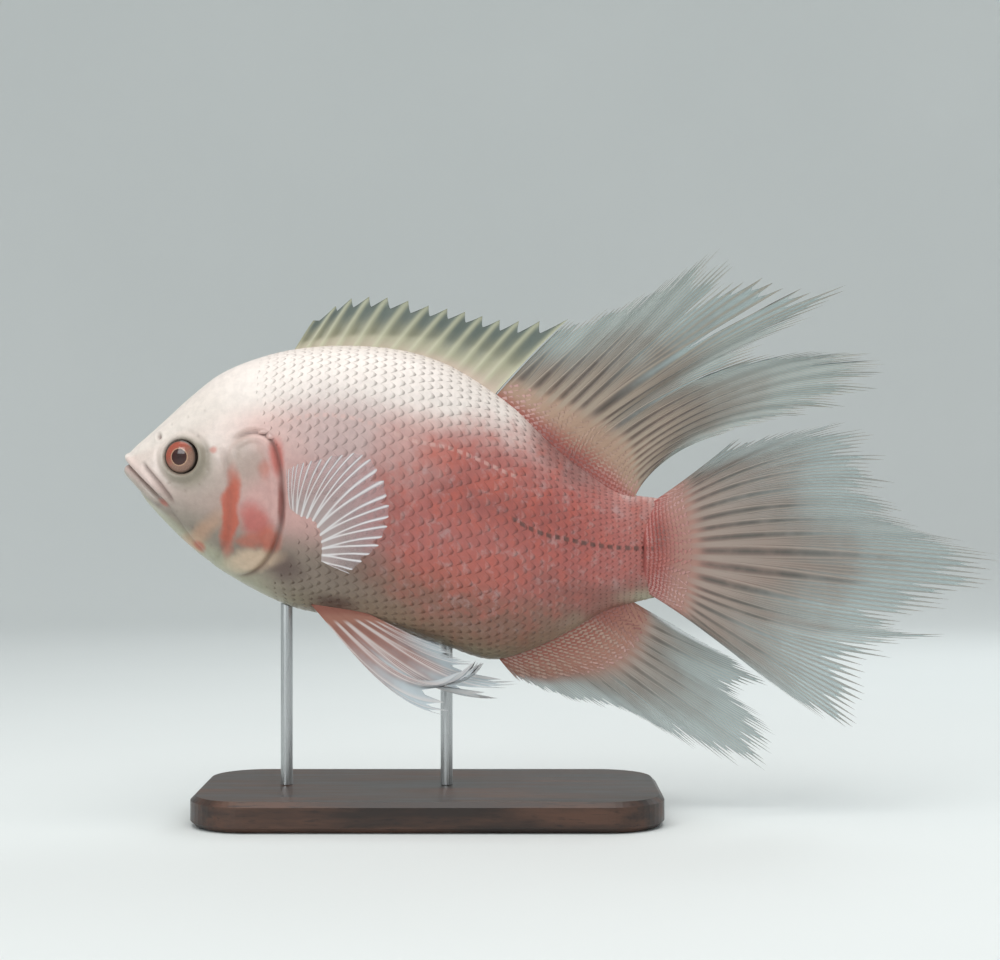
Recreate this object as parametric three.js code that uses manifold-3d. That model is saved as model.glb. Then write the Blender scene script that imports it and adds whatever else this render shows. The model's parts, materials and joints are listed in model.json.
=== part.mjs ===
// A long-finned oscar in life size, swimming level, as a still museum model on a plain stand.
// Millimetres, +Z up. The fish faces -X and its left flank faces -Y. The origin is the centre of
// the stand's underside. Shapes are worked out in the fish's own frame, which starts at the snout
// tip, runs back along +X, and is placed above the stand by the group at the end.
import * as THREE from "three";
import { mergeVertices } from "three/addons/utils/BufferGeometryUtils.js";
import Module from "manifold-3d";

const wasm = await Module();
wasm.setup();

// Driving sizes
const BODY_LENGTH = 220;
const SNOUT_HEIGHT = 144;
const SNOUT_TO_STAND_CENTRE = 125;
const GAP = 0.3;

// Body outline: height of back and belly, and half width, at distances behind the snout tip
const BACK = [
  [0, 1.2], [7, 10.6], [16, 18.6], [27, 28.6], [39, 37.8], [54, 44.3], [70, 48.2], [90, 49.6],
  [112, 48], [130, 43], [145, 35], [160, 24.3], [174, 11], [188, -0.5], [204, -10.5], [220, -13.5],
];
const BELLY = [
  [0, -1.2], [4, -9], [14, -21.4], [26, -33.2], [43, -46], [69, -59], [98, -64.5], [129, -74],
  [150, -80.5], [166, -77], [183, -69], [198, -60.5], [220, -54.5],
];
const HALF_WIDTH = [
  [0, 1.5], [3, 6.2], [8, 10], [16, 13.6], [27, 17], [40, 20.5], [56, 23.5], [75, 25.5],
  [100, 26.5], [125, 25.5], [150, 21.5], [170, 17], [190, 12], [205, 9], [220, 7],
];
const SECTION_FULLNESS = 0.88;
const STATIONS = 26;
const STATION_CROWDING = 1.6;
const RING_POINTS = 26;

// Head
const MOUTH = { cornerX: 17.8, frontZ: 0.8, slope: -0.927 };
const LIP = { radius: 1.75, offset: 2.5, narrowing: 0.25, sunk: 0.9, upperStart: 1.6, lowerStart: 0.9 };
const EYE = { x: 24.6, z: 3.2, radius: 6.6, bulge: 4.6, sunk: 2.3 };
const EYE_RIM = { radius: 7.8, thickness: 1.1, sunk: 0.5, turn: 14 };
const NOSTRIL = { x: 14.6, z: 11.4, radius: 1.1 };
const GILL_COVER = { raised: 1.1, depth: 2.4 };
const CLEAR_OF_BODY = 7;

// Stand
const STAND = { length: 190, width: 96, thickness: 12, corner: 22, chamfer: 2 };
const ROD_RADIUS = 2.5;
const ROD_FRONT_X = 66;
const ROD_REAR_X = 132;
const ROD_OVERSHOOT = 6;

const degrees = Math.PI / 180;
const lerp = (a, b, t) => a + (b - a) * t;
const clamp = (v, low, high) => Math.min(Math.max(v, low), high);
const smooth = (t) => clamp(t, 0, 1) ** 2 * (3 - 2 * clamp(t, 0, 1));

// A smooth curve through [place, value] knots. spread stretches the places, so that a steep start
// stays round.
function through(knots, spread = (place) => place) {
  const at = knots.map(([place]) => spread(place));
  const value = knots.map(([, v]) => v);
  const slope = at.map((_, i) => {
    const before = Math.max(i - 1, 0);
    const after = Math.min(i + 1, at.length - 1);
    return (value[after] - value[before]) / (at[after] - at[before]);
  });
  return (place) => {
    const p = clamp(spread(clamp(place, knots[0][0], knots.at(-1)[0])), at[0], at.at(-1));
    const i = Math.max(at.findIndex((a) => a >= p), 1) - 1;
    const width = at[i + 1] - at[i];
    const t = (p - at[i]) / width;
    return (
      value[i] * (1 + 2 * t) * (1 - t) ** 2 +
      slope[i] * width * t * (1 - t) ** 2 +
      value[i + 1] * t * t * (3 - 2 * t) +
      slope[i + 1] * width * t * t * (t - 1)
    );
  };
}

const backZ = through(BACK, Math.sqrt);
const bellyZ = through(BELLY, Math.sqrt);
const halfWidth = through(HALF_WIDTH, Math.sqrt);

// How far the flank stands from the middle plane at x and z.
function flankY(x, z) {
  const middle = (backZ(x) + bellyZ(x)) / 2;
  const half = (backZ(x) - bellyZ(x)) / 2;
  const rise = clamp((z - middle) / half, -0.99, 0.99);
  return halfWidth(x) * Math.sqrt(1 - rise * rise) ** SECTION_FULLNESS;
}

// A closed solid from an indexed or loose triangle geometry.
function solidOf(geometry) {
  const bare = geometry.clone();
  bare.deleteAttribute("normal");
  bare.deleteAttribute("uv");
  const merged = mergeVertices(bare, 1e-4);
  return new wasm.Manifold(
    new wasm.Mesh({
      numProp: 3,
      vertProperties: new Float32Array(merged.attributes.position.array),
      triVerts: new Uint32Array(merged.index.array),
    }),
  );
}

// A cut leaves a few very short edges and very thin triangles. A short edge is drawn together to
// one point, and the long edge of a thin triangle is turned to join the two corners beside it.
const SHORTEST_EDGE = 0.04;
const LEAST_HEIGHT = 0.012;

function tidied(points, triangles) {
  const between = (a, b) => points[a].distanceTo(points[b]);
  const around = (a) => new Set(triangles.filter((t) => t.includes(a)).flat());
  const sides = ([a, b, c]) => [[a, b, c], [b, c, a], [c, a, b]];
  const collapse = () => {
    const short = triangles.flatMap(sides).find(([a, b]) => {
      if (between(a, b) > SHORTEST_EDGE) return false;
      const shared = [...around(a)].filter((v) => around(b).has(v) && v !== a && v !== b);
      return shared.length === 2;
    });
    if (!short) return false;
    const [kept, gone] = short;
    triangles = triangles
      .map((t) => t.map((v) => (v === gone ? kept : v)))
      .filter(([a, b, c]) => a !== b && b !== c && c !== a);
    return true;
  };
  const thinTurned = () => {
    for (const triangle of triangles) {
      const [a, b, c] = sides(triangle).sort((e, f) => between(f[0], f[1]) - between(e[0], e[1]))[0];
      const flat = new THREE.Triangle(points[a], points[b], points[c]);
      if ((2 * flat.getArea()) / between(a, b) > LEAST_HEIGHT) continue;
      const across = triangles.find((t) => sides(t).some(([p, q]) => p === b && q === a));
      const d = across.find((v) => v !== a && v !== b);
      if (around(c).has(d)) continue;
      triangles = triangles.filter((t) => t !== triangle && t !== across);
      triangles.push([a, d, c], [d, b, c]);
      return true;
    }
    return false;
  };
  for (let step = 0; step < 400 && collapse(); step++);
  for (let step = 0; step < 60 && thinTurned(); step++);
  return triangles;
}

// The largest closed surface of a solid, as geometry.
function geometryOf(solid) {
  const largest = solid.decompose().sort((a, b) => b.volume() - a.volume())[0];
  const { numProp, vertProperties, triVerts } = largest.getMesh();
  const points = [];
  for (let i = 0; i < vertProperties.length; i += numProp) {
    points.push(new THREE.Vector3(...vertProperties.slice(i, i + 3)));
  }
  const triangles = [];
  for (let i = 0; i < triVerts.length; i += 3) {
    triangles.push([...triVerts.slice(i, i + 3)]);
  }
  const positions = points.flatMap((point) => point.toArray());
  const geometry = mergeVertices(indexed(positions, tidied(points, triangles).flat()));
  geometry.computeVertexNormals();
  return geometry;
}

function indexed(positions, faces) {
  const geometry = new THREE.BufferGeometry();
  geometry.setAttribute("position", new THREE.Float32BufferAttribute(positions, 3));
  geometry.setIndex(faces);
  return geometry;
}

// The whole body as rings of points behind one another, each ring an upright rounded oval.
function bodySolid(grow = 0) {
  const positions = [];
  const faces = [];
  for (let i = 0; i <= STATIONS; i++) {
    const x = BODY_LENGTH * (i / STATIONS) ** STATION_CROWDING;
    const end = i === 0 ? -grow : i === STATIONS ? grow : 0;
    const middle = (backZ(x) + bellyZ(x)) / 2;
    const half = (backZ(x) - bellyZ(x)) / 2 + grow;
    for (let k = 0; k < RING_POINTS; k++) {
      const turn = (2 * Math.PI * k) / RING_POINTS;
      const side = Math.sign(Math.cos(turn)) * Math.abs(Math.cos(turn)) ** SECTION_FULLNESS;
      positions.push(x + end, (halfWidth(x) + grow) * side, middle + half * Math.sin(turn));
    }
  }
  for (let i = 0; i < STATIONS; i++) {
    for (let k = 0; k < RING_POINTS; k++) {
      const next = (k + 1) % RING_POINTS;
      const [a, b] = [i * RING_POINTS + k, i * RING_POINTS + next];
      const [c, d] = [a + RING_POINTS, b + RING_POINTS];
      faces.push(a, b, d, a, d, c);
    }
  }
  const last = STATIONS * RING_POINTS;
  for (let k = 1; k < RING_POINTS - 1; k++) {
    faces.push(0, k + 1, k, last, last + k, last + k + 1);
  }
  return solidOf(indexed(positions, faces));
}

// A side-view outline of [x, z] points, carried across from y = from to y = to.
function acrossBody(outline, from, to) {
  const shape = new THREE.Shape(outline.map(([x, z]) => new THREE.Vector2(x, z)));
  const geometry = new THREE.ExtrudeGeometry(shape, { depth: to - from, bevelEnabled: false });
  geometry.rotateX(Math.PI / 2);
  geometry.translate(0, to, 0);
  return solidOf(geometry);
}

// A thin cut along a side-view line of [x, z] points.
function thinCut(line, width = GAP) {
  const edge = (offset) =>
    line.map(([x, z], i) => {
      const [x0, z0] = line[Math.max(i - 1, 0)];
      const [x1, z1] = line[Math.min(i + 1, line.length - 1)];
      const length = Math.hypot(x1 - x0, z1 - z0);
      return [x - ((z1 - z0) / length) * offset, z + ((x1 - x0) / length) * offset];
    });
  return acrossBody([...edge(-width / 2), ...edge(width / 2).reverse()], -60, 60);
}

function ball(x, y, z, across, deep, detail) {
  const geometry = new THREE.SphereGeometry(1, detail, Math.round(detail / 2));
  geometry.scale(across, across, deep);
  geometry.rotateX(Math.PI / 2);
  geometry.translate(x, y, z);
  return solidOf(geometry);
}

// Lips: a round bead round the front of the jaws, above (side 1) or below (side -1) the mouth.
function lip(side) {
  const points = [];
  const steps = 6;
  for (let i = -steps; i <= steps; i++) {
    const reach = i / steps;
    const x = lerp(side > 0 ? LIP.upperStart : LIP.lowerStart, MOUTH.cornerX, reach * reach);
    const z = MOUTH.frontZ + MOUTH.slope * x + side * LIP.offset * (1 - LIP.narrowing * reach * reach);
    const y = Math.sign(reach) * Math.max(flankY(x, z) - LIP.sunk, 0);
    points.push(new THREE.Vector3(x, y, z));
  }
  const section = new THREE.Shape();
  section.absarc(0, 0, LIP.radius, 0, 2 * Math.PI);
  const bead = new THREE.ExtrudeGeometry(section, {
    steps: 2 * steps,
    curveSegments: 3,
    bevelEnabled: false,
    extrudePath: new THREE.CatmullRomCurve3(points),
  });
  return solidOf(bead);
}

// The raised ring of skin round each eye.
function eyeRim(side) {
  const ring = new THREE.TorusGeometry(EYE_RIM.radius, EYE_RIM.thickness, 5, 20);
  ring.rotateX(Math.PI / 2);
  ring.rotateZ(side * EYE_RIM.turn * degrees);
  ring.translate(EYE.x, side * (flankY(EYE.x, EYE.z) - EYE_RIM.sunk), EYE.z);
  return solidOf(ring);
}

function eyeBall(side, grow = 0) {
  const y = side * (flankY(EYE.x, EYE.z) - EYE.sunk);
  return ball(EYE.x, y, EYE.z, EYE.radius + grow, EYE.bulge + grow, 18);
}

// Gill cover outline in side view: straight in front, and a round free edge behind and below. With
// grow it is the pocket that the cover lies in, which is open outwards.
const GILL_EDGE = [
  [45.5, 8], [52, 11.5], [58, 11.5], [62, 8], [64.5, 1], [65.8, -8], [66, -18], [64.4, -27],
  [61.2, -35], [56.5, -41], [50, -44.5], [43.5, -43.5], [44, -34], [43.5, -20], [43.5, -6],
];

function gillCover(side, grow) {
  const outline = GILL_EDGE.map(([x, z]) => {
    const [fromX, fromZ] = [x - 55, z + 16];
    const length = Math.hypot(fromX, fromZ);
    return [x + (fromX / length) * grow, z + (fromZ / length) * grow];
  });
  const block = side > 0 ? acrossBody(outline, 2, 60) : acrossBody(outline, -60, -2);
  const outer = bodySolid(grow > 0 ? CLEAR_OF_BODY : GILL_COVER.raised);
  const inner = bodySolid(-GILL_COVER.depth - grow);
  return block.intersect(outer).subtract(inner);
}

// Fins. A fin is a fan of rays joined by a membrane. It is worked out in side view, and sway gives
// how far it stands from the middle plane. Each ray leaves its root at an angle and turns towards
// its tip by turn * t ** hook along its length.
function rayPath({ x, z, angle, length, turn, hook }, rows) {
  const points = [[x, z]];
  const substeps = 6;
  for (let k = 1; k <= rows; k++) {
    let [px, pz] = points[k - 1];
    for (let j = 0; j < substeps; j++) {
      const t = (k - 1 + (j + 0.5) / substeps) / rows;
      const heading = (angle + turn * t ** hook) * degrees;
      px += (Math.cos(heading) * length) / rows / substeps;
      pz += (Math.sin(heading) * length) / rows / substeps;
    }
    points.push([px, pz]);
  }
  return points;
}

// The ray from a root to a tip that turns by a given angle on its way.
function rayBetween([x, z], [tipX, tipZ], turn, hook) {
  const unit = rayPath({ x: 0, z: 0, angle: 0, length: 1, turn, hook }, 12).at(-1);
  const length = Math.hypot(tipX - x, tipZ - z) / Math.hypot(...unit);
  const angle = (Math.atan2(tipZ - z, tipX - x) - Math.atan2(unit[1], unit[0])) / degrees;
  return { x, z, angle, length, turn, hook };
}

// All the rays of a fin from guide rays, each [ray number, root x, root z, tip x, tip z, turn].
function raysThrough(guides, hook = 1) {
  const [rootX, rootZ, tipX, tipZ, turn] = [1, 2, 3, 4, 5].map((column) =>
    through(guides.map((guide) => [guide[0], guide[column]])),
  );
  return Array.from({ length: guides.at(-1)[0] + 1 }, (_, n) =>
    rayBetween([rootX(n), rootZ(n)], [tipX(n), tipZ(n)], turn(n), hook),
  );
}

// The closed sheet of a fin. side is the way from one ray to the next: 1 is anticlockwise in side
// view. Each ray is a ridge along the middle of a narrow strip, and the membrane fills the space
// between strips out to web(n) of the way along the rays, past which the ray tips stand free.
function finSolid({ rays, rows, side, ray, sheath, sway, web }) {
  const paths = rays.map((r) => rayPath(r, rows));
  const columns = rays.flatMap((r, n) =>
    [-1, 0, 1].map((edge) => {
      const neighbour = paths[clamp(edge === 0 ? n + 1 : n + edge, 0, rays.length - 1)];
      return paths[n].map(([x, z], k) => {
        const t = k / rows;
        const heading = (r.angle + r.turn * t ** r.hook) * degrees;
        const apart = Math.hypot(neighbour[k][0] - x, neighbour[k][1] - z) || Infinity;
        const out = edge * side * Math.min(lerp(ray.halfWidth, ray.tipHalfWidth, t), 0.3 * apart);
        const sheathHalf = sheath.half(n) * (1 - smooth((t * r.length) / sheath.reach(n)));
        const half = edge === 0 ? lerp(ray.half, ray.tipHalf, t) : MEMBRANE_HALF;
        return {
          x: x - Math.sin(heading) * out,
          y: sway(n / (rays.length - 1), t, x, z),
          z: z + Math.cos(heading) * out,
          half: Math.max(half, half * 0.5 + sheathHalf),
        };
      });
    }),
  );
  const positions = columns.flatMap((column) =>
    column.flatMap(({ x, y, z, half }) => [x, y - side * half, z, x, y + side * half, z]),
  );
  const vertex = (column, row, face) => 2 * (column * (rows + 1) + row) + face;
  const filled = (column, row) =>
    column >= 0 &&
    column < columns.length - 1 &&
    row >= 0 &&
    row < rows &&
    (column % 3 !== 2 || (row + 0.5) / rows < web((column - 2) / 3));
  const faces = [];
  for (let c = 0; c < columns.length - 1; c++) {
    for (let r = 0; r < rows; r++) {
      if (!filled(c, r)) continue;
      const [near, far] = [0, 1].map((face) => [
        vertex(c, r, face), vertex(c + 1, r, face), vertex(c + 1, r + 1, face), vertex(c, r + 1, face),
      ]);
      faces.push(near[0], near[2], near[1], near[0], near[3], near[2]);
      faces.push(far[0], far[1], far[2], far[0], far[2], far[3]);
      const open = [!filled(c, r - 1), !filled(c + 1, r), !filled(c, r + 1), !filled(c - 1, r)];
      open.forEach((isOpen, a) => {
        const b = (a + 1) % 4;
        if (isOpen) faces.push(near[a], near[b], far[b], near[a], far[b], far[a]);
      });
    }
  }
  return solidOf(indexed(positions, faces));
}

const MEMBRANE_HALF = 0.27;
const SPINE = { halfWidth: 1.4, tipHalfWidth: 0.6, half: 1.1, tipHalf: 0.4 };
const SOFT_RAY = { halfWidth: 0.9, tipHalfWidth: 0.4, half: 0.8, tipHalf: 0.35 };
const FINE_RAY = { halfWidth: 0.7, tipHalfWidth: 0.35, half: 0.65, tipHalf: 0.35 };

// Dorsal fin, front part: stiff spines with a membrane that falls back from each tip
const SPINY_DORSAL = {
  rays: raysThrough([
    [0, 67.5, 44.5, 76.8, 59.5, -4], [1, 72.5, 44.5, 85.9, 65.3, -5], [2, 78, 44.5, 92.5, 68.5, -6],
    [4, 92, 44, 107.4, 69, -8], [6, 106.5, 42.5, 124.3, 65.5, -8], [8, 120.5, 40, 139.6, 63.2, -8],
    [10, 133.5, 34.5, 154, 60, -8], [12, 143.5, 28.5, 170, 59, -8], [13, 147.5, 25.3, 181, 60.5, -8],
  ]),
  rows: 5,
  side: -1,
  ray: SPINE,
  sheath: { half: (n) => 1.4 + 0.28 * n, reach: (n) => 9 + 1.3 * n },
  sway: (s, t) => 0.6 * Math.sin(9 * s) * t,
  web: () => 0.84,
};

// Dorsal fin, rear part: long soft rays in streaming lobes
const SOFT_DORSAL = {
  rays: raysThrough([
    [0, 149.6, 23.6, 183.8, 60, -8], [2, 158.5, 17, 213, 70.6, -4], [4, 165.5, 11, 244, 91, 8],
    [5, 169, 8, 251, 86, 2], [6, 172, 5.5, 260, 77.5, -14], [7, 175, 3.2, 298, 73.5, -20],
    [8, 178, 1, 284, 61, -26], [9, 181, -1.2, 262, 49, -30], [11, 187, -5.3, 307, 46, -44],
    [13, 193, -9, 314.5, 37, -52], [15, 198, -12, 297, 24, -62], [17, 203, -14.8, 266, 17.5, -60],
    [19, 207.5, -17.5, 230, 9, -34],
  ]),
  rows: 8,
  side: -1,
  ray: SOFT_RAY,
  sheath: {
    half: (n) => 5 - 0.1 * n,
    reach: (n) => 21 + 16 * Math.sin((Math.PI * n) / 19) ** 1.5 - 0.45 * n,
  },
  sway: (s, t) => -12 * s * t * t + 2 * Math.sin(13 * s + 2.5 * t) * t,
  web: (n) => [0.9, 0.9, 0.9, 0.86, 0.8, 0.72, 0.56, 0.72, 0.76, 0.6][n] ?? 0.84,
};

// Tail fin
const TAIL = {
  rays: raysThrough([
    [0, 213, -18, 254, 12, 6], [2, 213, -22, 297, 18, -22], [3, 213, -24, 311, 13.5, -32],
    [5, 213, -28, 318, -8, -42], [7, 213, -31.6, 331, -26, -40], [9, 213, -35, 364, -38, -20],
    [10, 213, -36.7, 362, -49, 12], [12, 213, -40, 322, -67, 24], [13, 213, -41.7, 337, -70, 30],
    [14, 213, -43.3, 315, -78, 24], [16, 213, -46.5, 301, -108, 0], [17, 212.5, -48, 284, -103, -2],
    [19, 211, -50.5, 240, -70, -8],
  ]),
  rows: 8,
  side: -1,
  ray: SOFT_RAY,
  sheath: { half: (n) => 2 + 4.6 * Math.sin((Math.PI * n) / 19), reach: () => 30 },
  sway: (s, t) => (11 - 20 * s) * t * t + 2.2 * Math.sin(12 * s + 2 * t) * t,
  web: (n) => (n % 3 === 2 ? 0.76 : 0.86),
};

// Anal fin
const ANAL = {
  rays: raysThrough([
    [0, 150, -74.5, 162, -89.5, 12], [2, 157, -73.5, 186, -98.5, 12], [4, 164.5, -71, 210, -104, 8],
    [6, 172, -68, 237, -119.5, -2], [8, 179, -64.5, 265.5, -127.5, -2], [10, 186, -61, 272, -114, 4],
    [12, 192, -57.5, 256, -95, 10], [13, 195, -55.5, 269, -91.5, 14], [15, 201, -51.5, 229, -68, 4],
  ]),
  rows: 7,
  side: 1,
  ray: SOFT_RAY,
  sheath: { half: (n) => 3.4 - 0.08 * n, reach: (n) => 20 + 22 * Math.sin((Math.PI * (n + 1)) / 17) },
  sway: (s, t) => 4 * s * t + 11 * s * t * t + 1.6 * Math.sin(10 * s + 2 * t) * t,
  web: (n) => [0.9, 0.9, 0.88, 0.88, 0.86, 0.84, 0.72][n] ?? 0.86,
};

// Paired fins. Each stands out from the flank or the belly of its own side, here the left one.
// The second ray of the left pelvic fin is a streamer that curls up outside the others.
const PECTORAL_SUNK = 2.4;
const PECTORAL_LIFT = 12;
const STREAMER_LIFT = 11;
const PECTORAL = {
  rays: raysThrough([
    [0, 70, -19, 69.5, -1.5, -14], [2, 72.2, -22, 78, 1.8, -18], [5, 76.2, -27.5, 102.5, 4, -26],
    [7, 78.2, -31, 111, -14, -22], [9, 79.8, -34.5, 107.5, -30.5, -14], [11, 81, -38.5, 94, -43.5, 6],
  ]),
  rows: 5,
  side: -1,
  ray: FINE_RAY,
  sheath: { half: () => 1.2, reach: () => 9 },
  sway: (s, t, x, z) => PECTORAL_SUNK - flankY(x, z) - PECTORAL_LIFT * t,
  web: () => 0.92,
};
const PELVIC = {
  rows: 9,
  side: 1,
  ray: SOFT_RAY,
  sheath: { half: () => 1.6, reach: () => 14 },
};
const PELVIC_LEFT = {
  ...PELVIC,
  rays: raysThrough([
    [0, 77, -57, 133, -101.5, 45], [1, 80, -57, 147, -75, 130], [2, 83.5, -57.5, 152.5, -94, 50],
    [3, 87.5, -58, 162, -88, 45], [4, 91.5, -58.5, 142, -79.5, 32], [6, 99, -60, 131, -73.5, 12],
  ], 3),
  sway: (s, t) => -9 - 8 * t - (s > 0.1 && s < 0.2 ? STREAMER_LIFT * t ** 3 : 0),
  web: (n) => [0.74, 0.55, 0.72, 0.72, 0.84, 0.9][n],
};
const PELVIC_RIGHT = {
  ...PELVIC,
  rays: raysThrough([
    [0, 78, -57, 129, -90, 20], [2, 84, -57.5, 136, -85, 20], [3, 88, -58, 130, -80, 16],
    [5, 95.5, -60, 137, -75.5, 10],
  ], 2),
  sway: (s, t) => 9 + 9 * t,
  web: (n) => [0.9, 0.8, 0.7, 0.85, 0.8][n],
};

// The body, its cuts and the head's parts
const grownBody = bodySolid(GAP);
const mouthLine = [
  [-6, MOUTH.frontZ - 6 * MOUTH.slope], [MOUTH.cornerX, MOUTH.frontZ + MOUTH.slope * MOUTH.cornerX],
  [22.5, -22], [28, -42],
];
const headLine = [[58, 70], [57.5, 40], [58.5, 12], [62, 0], [62.5, -20], [58, -36], [46, -47], [38, -60]];
const stemLine = [[187, 20], [190, -20], [187, -80]];

// A loose scrap that the cuts leave is smaller than this, in cubic millimetres.
const LEAST_PART = 50;

let whole = bodySolid().add(lip(1)).add(lip(-1)).add(eyeRim(1)).add(eyeRim(-1));
for (const side of [1, -1]) {
  const nostrilY = side * flankY(NOSTRIL.x, NOSTRIL.z);
  whole = whole
    .subtract(eyeBall(side, GAP))
    .subtract(gillCover(side, GAP))
    .subtract(ball(NOSTRIL.x, nostrilY, NOSTRIL.z, NOSTRIL.radius, NOSTRIL.radius, 8));
}
whole = whole.subtract(thinCut(mouthLine)).subtract(thinCut(headLine)).subtract(thinCut(stemLine));
const parts = whole
  .decompose()
  .filter((p) => p.volume() > LEAST_PART)
  .sort((a, b) => a.boundingBox().max[0] - b.boundingBox().max[0]);
const [jaw, head, trunk, stem] = parts;

const gillCovers = { left: gillCover(-1, 0), right: gillCover(1, 0) };

function finOnBody(fin) {
  return finSolid(fin).subtract(grownBody);
}

const pectoralLeft = finOnBody(PECTORAL);

// Stand: a flat base with a chamfered edge, and two rods that meet the belly
function standBase() {
  const [halfLength, halfWide] = [STAND.length / 2 - STAND.chamfer, STAND.width / 2 - STAND.chamfer];
  const r = STAND.corner;
  const outline = new THREE.Shape();
  outline.absarc(halfLength - r, halfWide - r, r, 0, Math.PI / 2);
  outline.absarc(r - halfLength, halfWide - r, r, Math.PI / 2, Math.PI);
  outline.absarc(r - halfLength, r - halfWide, r, Math.PI, 1.5 * Math.PI);
  outline.absarc(halfLength - r, r - halfWide, r, 1.5 * Math.PI, 2 * Math.PI);
  const base = new THREE.ExtrudeGeometry(outline, {
    depth: STAND.thickness - 2 * STAND.chamfer,
    curveSegments: 6,
    bevelThickness: STAND.chamfer,
    bevelSize: STAND.chamfer,
    bevelSegments: 1,
  });
  base.translate(0, 0, STAND.chamfer);
  return solidOf(base);
}

function standRod(x) {
  const foot = STAND.thickness + GAP - SNOUT_HEIGHT;
  const top = bellyZ(x) + ROD_OVERSHOOT;
  const rod = new THREE.CylinderGeometry(ROD_RADIUS, ROD_RADIUS, top - foot, 16);
  rod.rotateX(Math.PI / 2);
  rod.translate(x, 0, (top + foot) / 2);
  return solidOf(rod).subtract(grownBody);
}

// Materials
const finish = (color, roughness, metalness = 0) =>
  new THREE.MeshStandardMaterial({ color, roughness, metalness });
const SKIN = finish(0xc98f86, 0.45);
const PALE_SKIN = finish(0xe3d6cf, 0.42);
const FIN = finish(0x7b8c84, 0.5);
const PALE_FIN = finish(0xb4bcbc, 0.5);
const IRIS = finish(0x7f2a1c, 0.12);
const STAND_WOOD = finish(0x2c2623, 0.45);
const STEEL = finish(0xb9bcc0, 0.3, 1);

const fish = new THREE.Group();
fish.position.set(-SNOUT_TO_STAND_CENTRE, 0, SNOUT_HEIGHT);

function add(name, solid, material, group = fish) {
  const mesh = new THREE.Mesh(geometryOf(solid), material);
  mesh.name = name;
  group.add(mesh);
}

add("head", head, PALE_SKIN);
add("lower_jaw", jaw, PALE_SKIN);
add("trunk", trunk, SKIN);
add("tail_stem", stem, SKIN);
add("gill_cover_left", gillCovers.left, SKIN);
add("gill_cover_right", gillCovers.right, SKIN);
add("eye_left", eyeBall(-1), IRIS);
add("eye_right", eyeBall(1), IRIS);
add("dorsal_fin_spiny", finOnBody(SPINY_DORSAL), FIN);
add("dorsal_fin_soft", finOnBody(SOFT_DORSAL), FIN);
add("tail_fin", finOnBody(TAIL), FIN);
add("anal_fin", finOnBody(ANAL), FIN);
add("pectoral_fin_left", pectoralLeft, PALE_FIN);
add("pectoral_fin_right", pectoralLeft.mirror([0, 1, 0]), PALE_FIN);
add("pelvic_fin_left", finOnBody(PELVIC_LEFT), PALE_FIN);
add("pelvic_fin_right", finOnBody(PELVIC_RIGHT), PALE_FIN);
add("stand_rod_front", standRod(ROD_FRONT_X), STEEL);
add("stand_rod_rear", standRod(ROD_REAR_X), STEEL);

const model = new THREE.Group();
model.add(fish);
add("stand_base", standBase(), STAND_WOOD, model);

export default model;
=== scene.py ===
# %% [markdown]
# # A long-finned oscar on a display stand
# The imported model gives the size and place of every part. This script dresses it: one skin over
# the flesh, scales laid over the skin, fins with fine branching rays, eyes, and a finish for the
# stand. Every piece is a formula of two parameters, worked out in the fish's own frame.

# %% Load the frame
import json

import bpy
import numpy as np
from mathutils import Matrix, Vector

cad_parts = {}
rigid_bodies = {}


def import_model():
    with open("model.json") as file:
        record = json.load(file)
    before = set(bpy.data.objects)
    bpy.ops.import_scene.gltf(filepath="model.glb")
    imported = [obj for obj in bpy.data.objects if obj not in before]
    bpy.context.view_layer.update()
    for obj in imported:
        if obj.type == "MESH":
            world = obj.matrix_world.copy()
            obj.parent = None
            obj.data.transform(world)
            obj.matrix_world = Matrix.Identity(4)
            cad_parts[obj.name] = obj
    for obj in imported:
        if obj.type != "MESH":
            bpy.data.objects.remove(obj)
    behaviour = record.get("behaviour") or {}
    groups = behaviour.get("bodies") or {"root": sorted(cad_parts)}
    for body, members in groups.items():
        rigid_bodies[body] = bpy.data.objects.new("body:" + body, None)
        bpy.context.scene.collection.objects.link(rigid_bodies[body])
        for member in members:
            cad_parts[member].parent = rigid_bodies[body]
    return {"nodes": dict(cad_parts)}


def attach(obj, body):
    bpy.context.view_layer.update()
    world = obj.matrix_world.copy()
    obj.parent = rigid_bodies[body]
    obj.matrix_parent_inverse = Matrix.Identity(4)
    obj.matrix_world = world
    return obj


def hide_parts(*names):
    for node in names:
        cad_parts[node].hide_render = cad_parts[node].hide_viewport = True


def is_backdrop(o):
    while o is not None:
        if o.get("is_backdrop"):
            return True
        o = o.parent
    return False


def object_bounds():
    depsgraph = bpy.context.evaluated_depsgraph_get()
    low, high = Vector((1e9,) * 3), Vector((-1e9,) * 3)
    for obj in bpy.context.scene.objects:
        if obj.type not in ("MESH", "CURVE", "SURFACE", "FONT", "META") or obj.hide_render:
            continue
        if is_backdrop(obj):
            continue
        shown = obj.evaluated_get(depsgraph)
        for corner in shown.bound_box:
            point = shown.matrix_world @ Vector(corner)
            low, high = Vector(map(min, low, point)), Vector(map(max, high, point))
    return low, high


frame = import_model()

cad_box = [list(corner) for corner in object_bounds()]
rng = np.random.default_rng(7)
print("nodes", len(frame["nodes"]), "box", np.round(cad_box, 3).tolist())

# %% [markdown]
# ## The fish's own frame
# A fish is measured from the tip of its snout. So each shape below is given in millimetres behind
# the snout (x), towards the right flank (y) and above the snout (z), and one function at the end
# carries it above the stand and into metres. That keeps the numbers close to what a naturalist
# would measure with a ruler.

# %% Measures and curves
SNOUT_TO_STAND_CENTRE = 125
SNOUT_HEIGHT = 144


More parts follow.
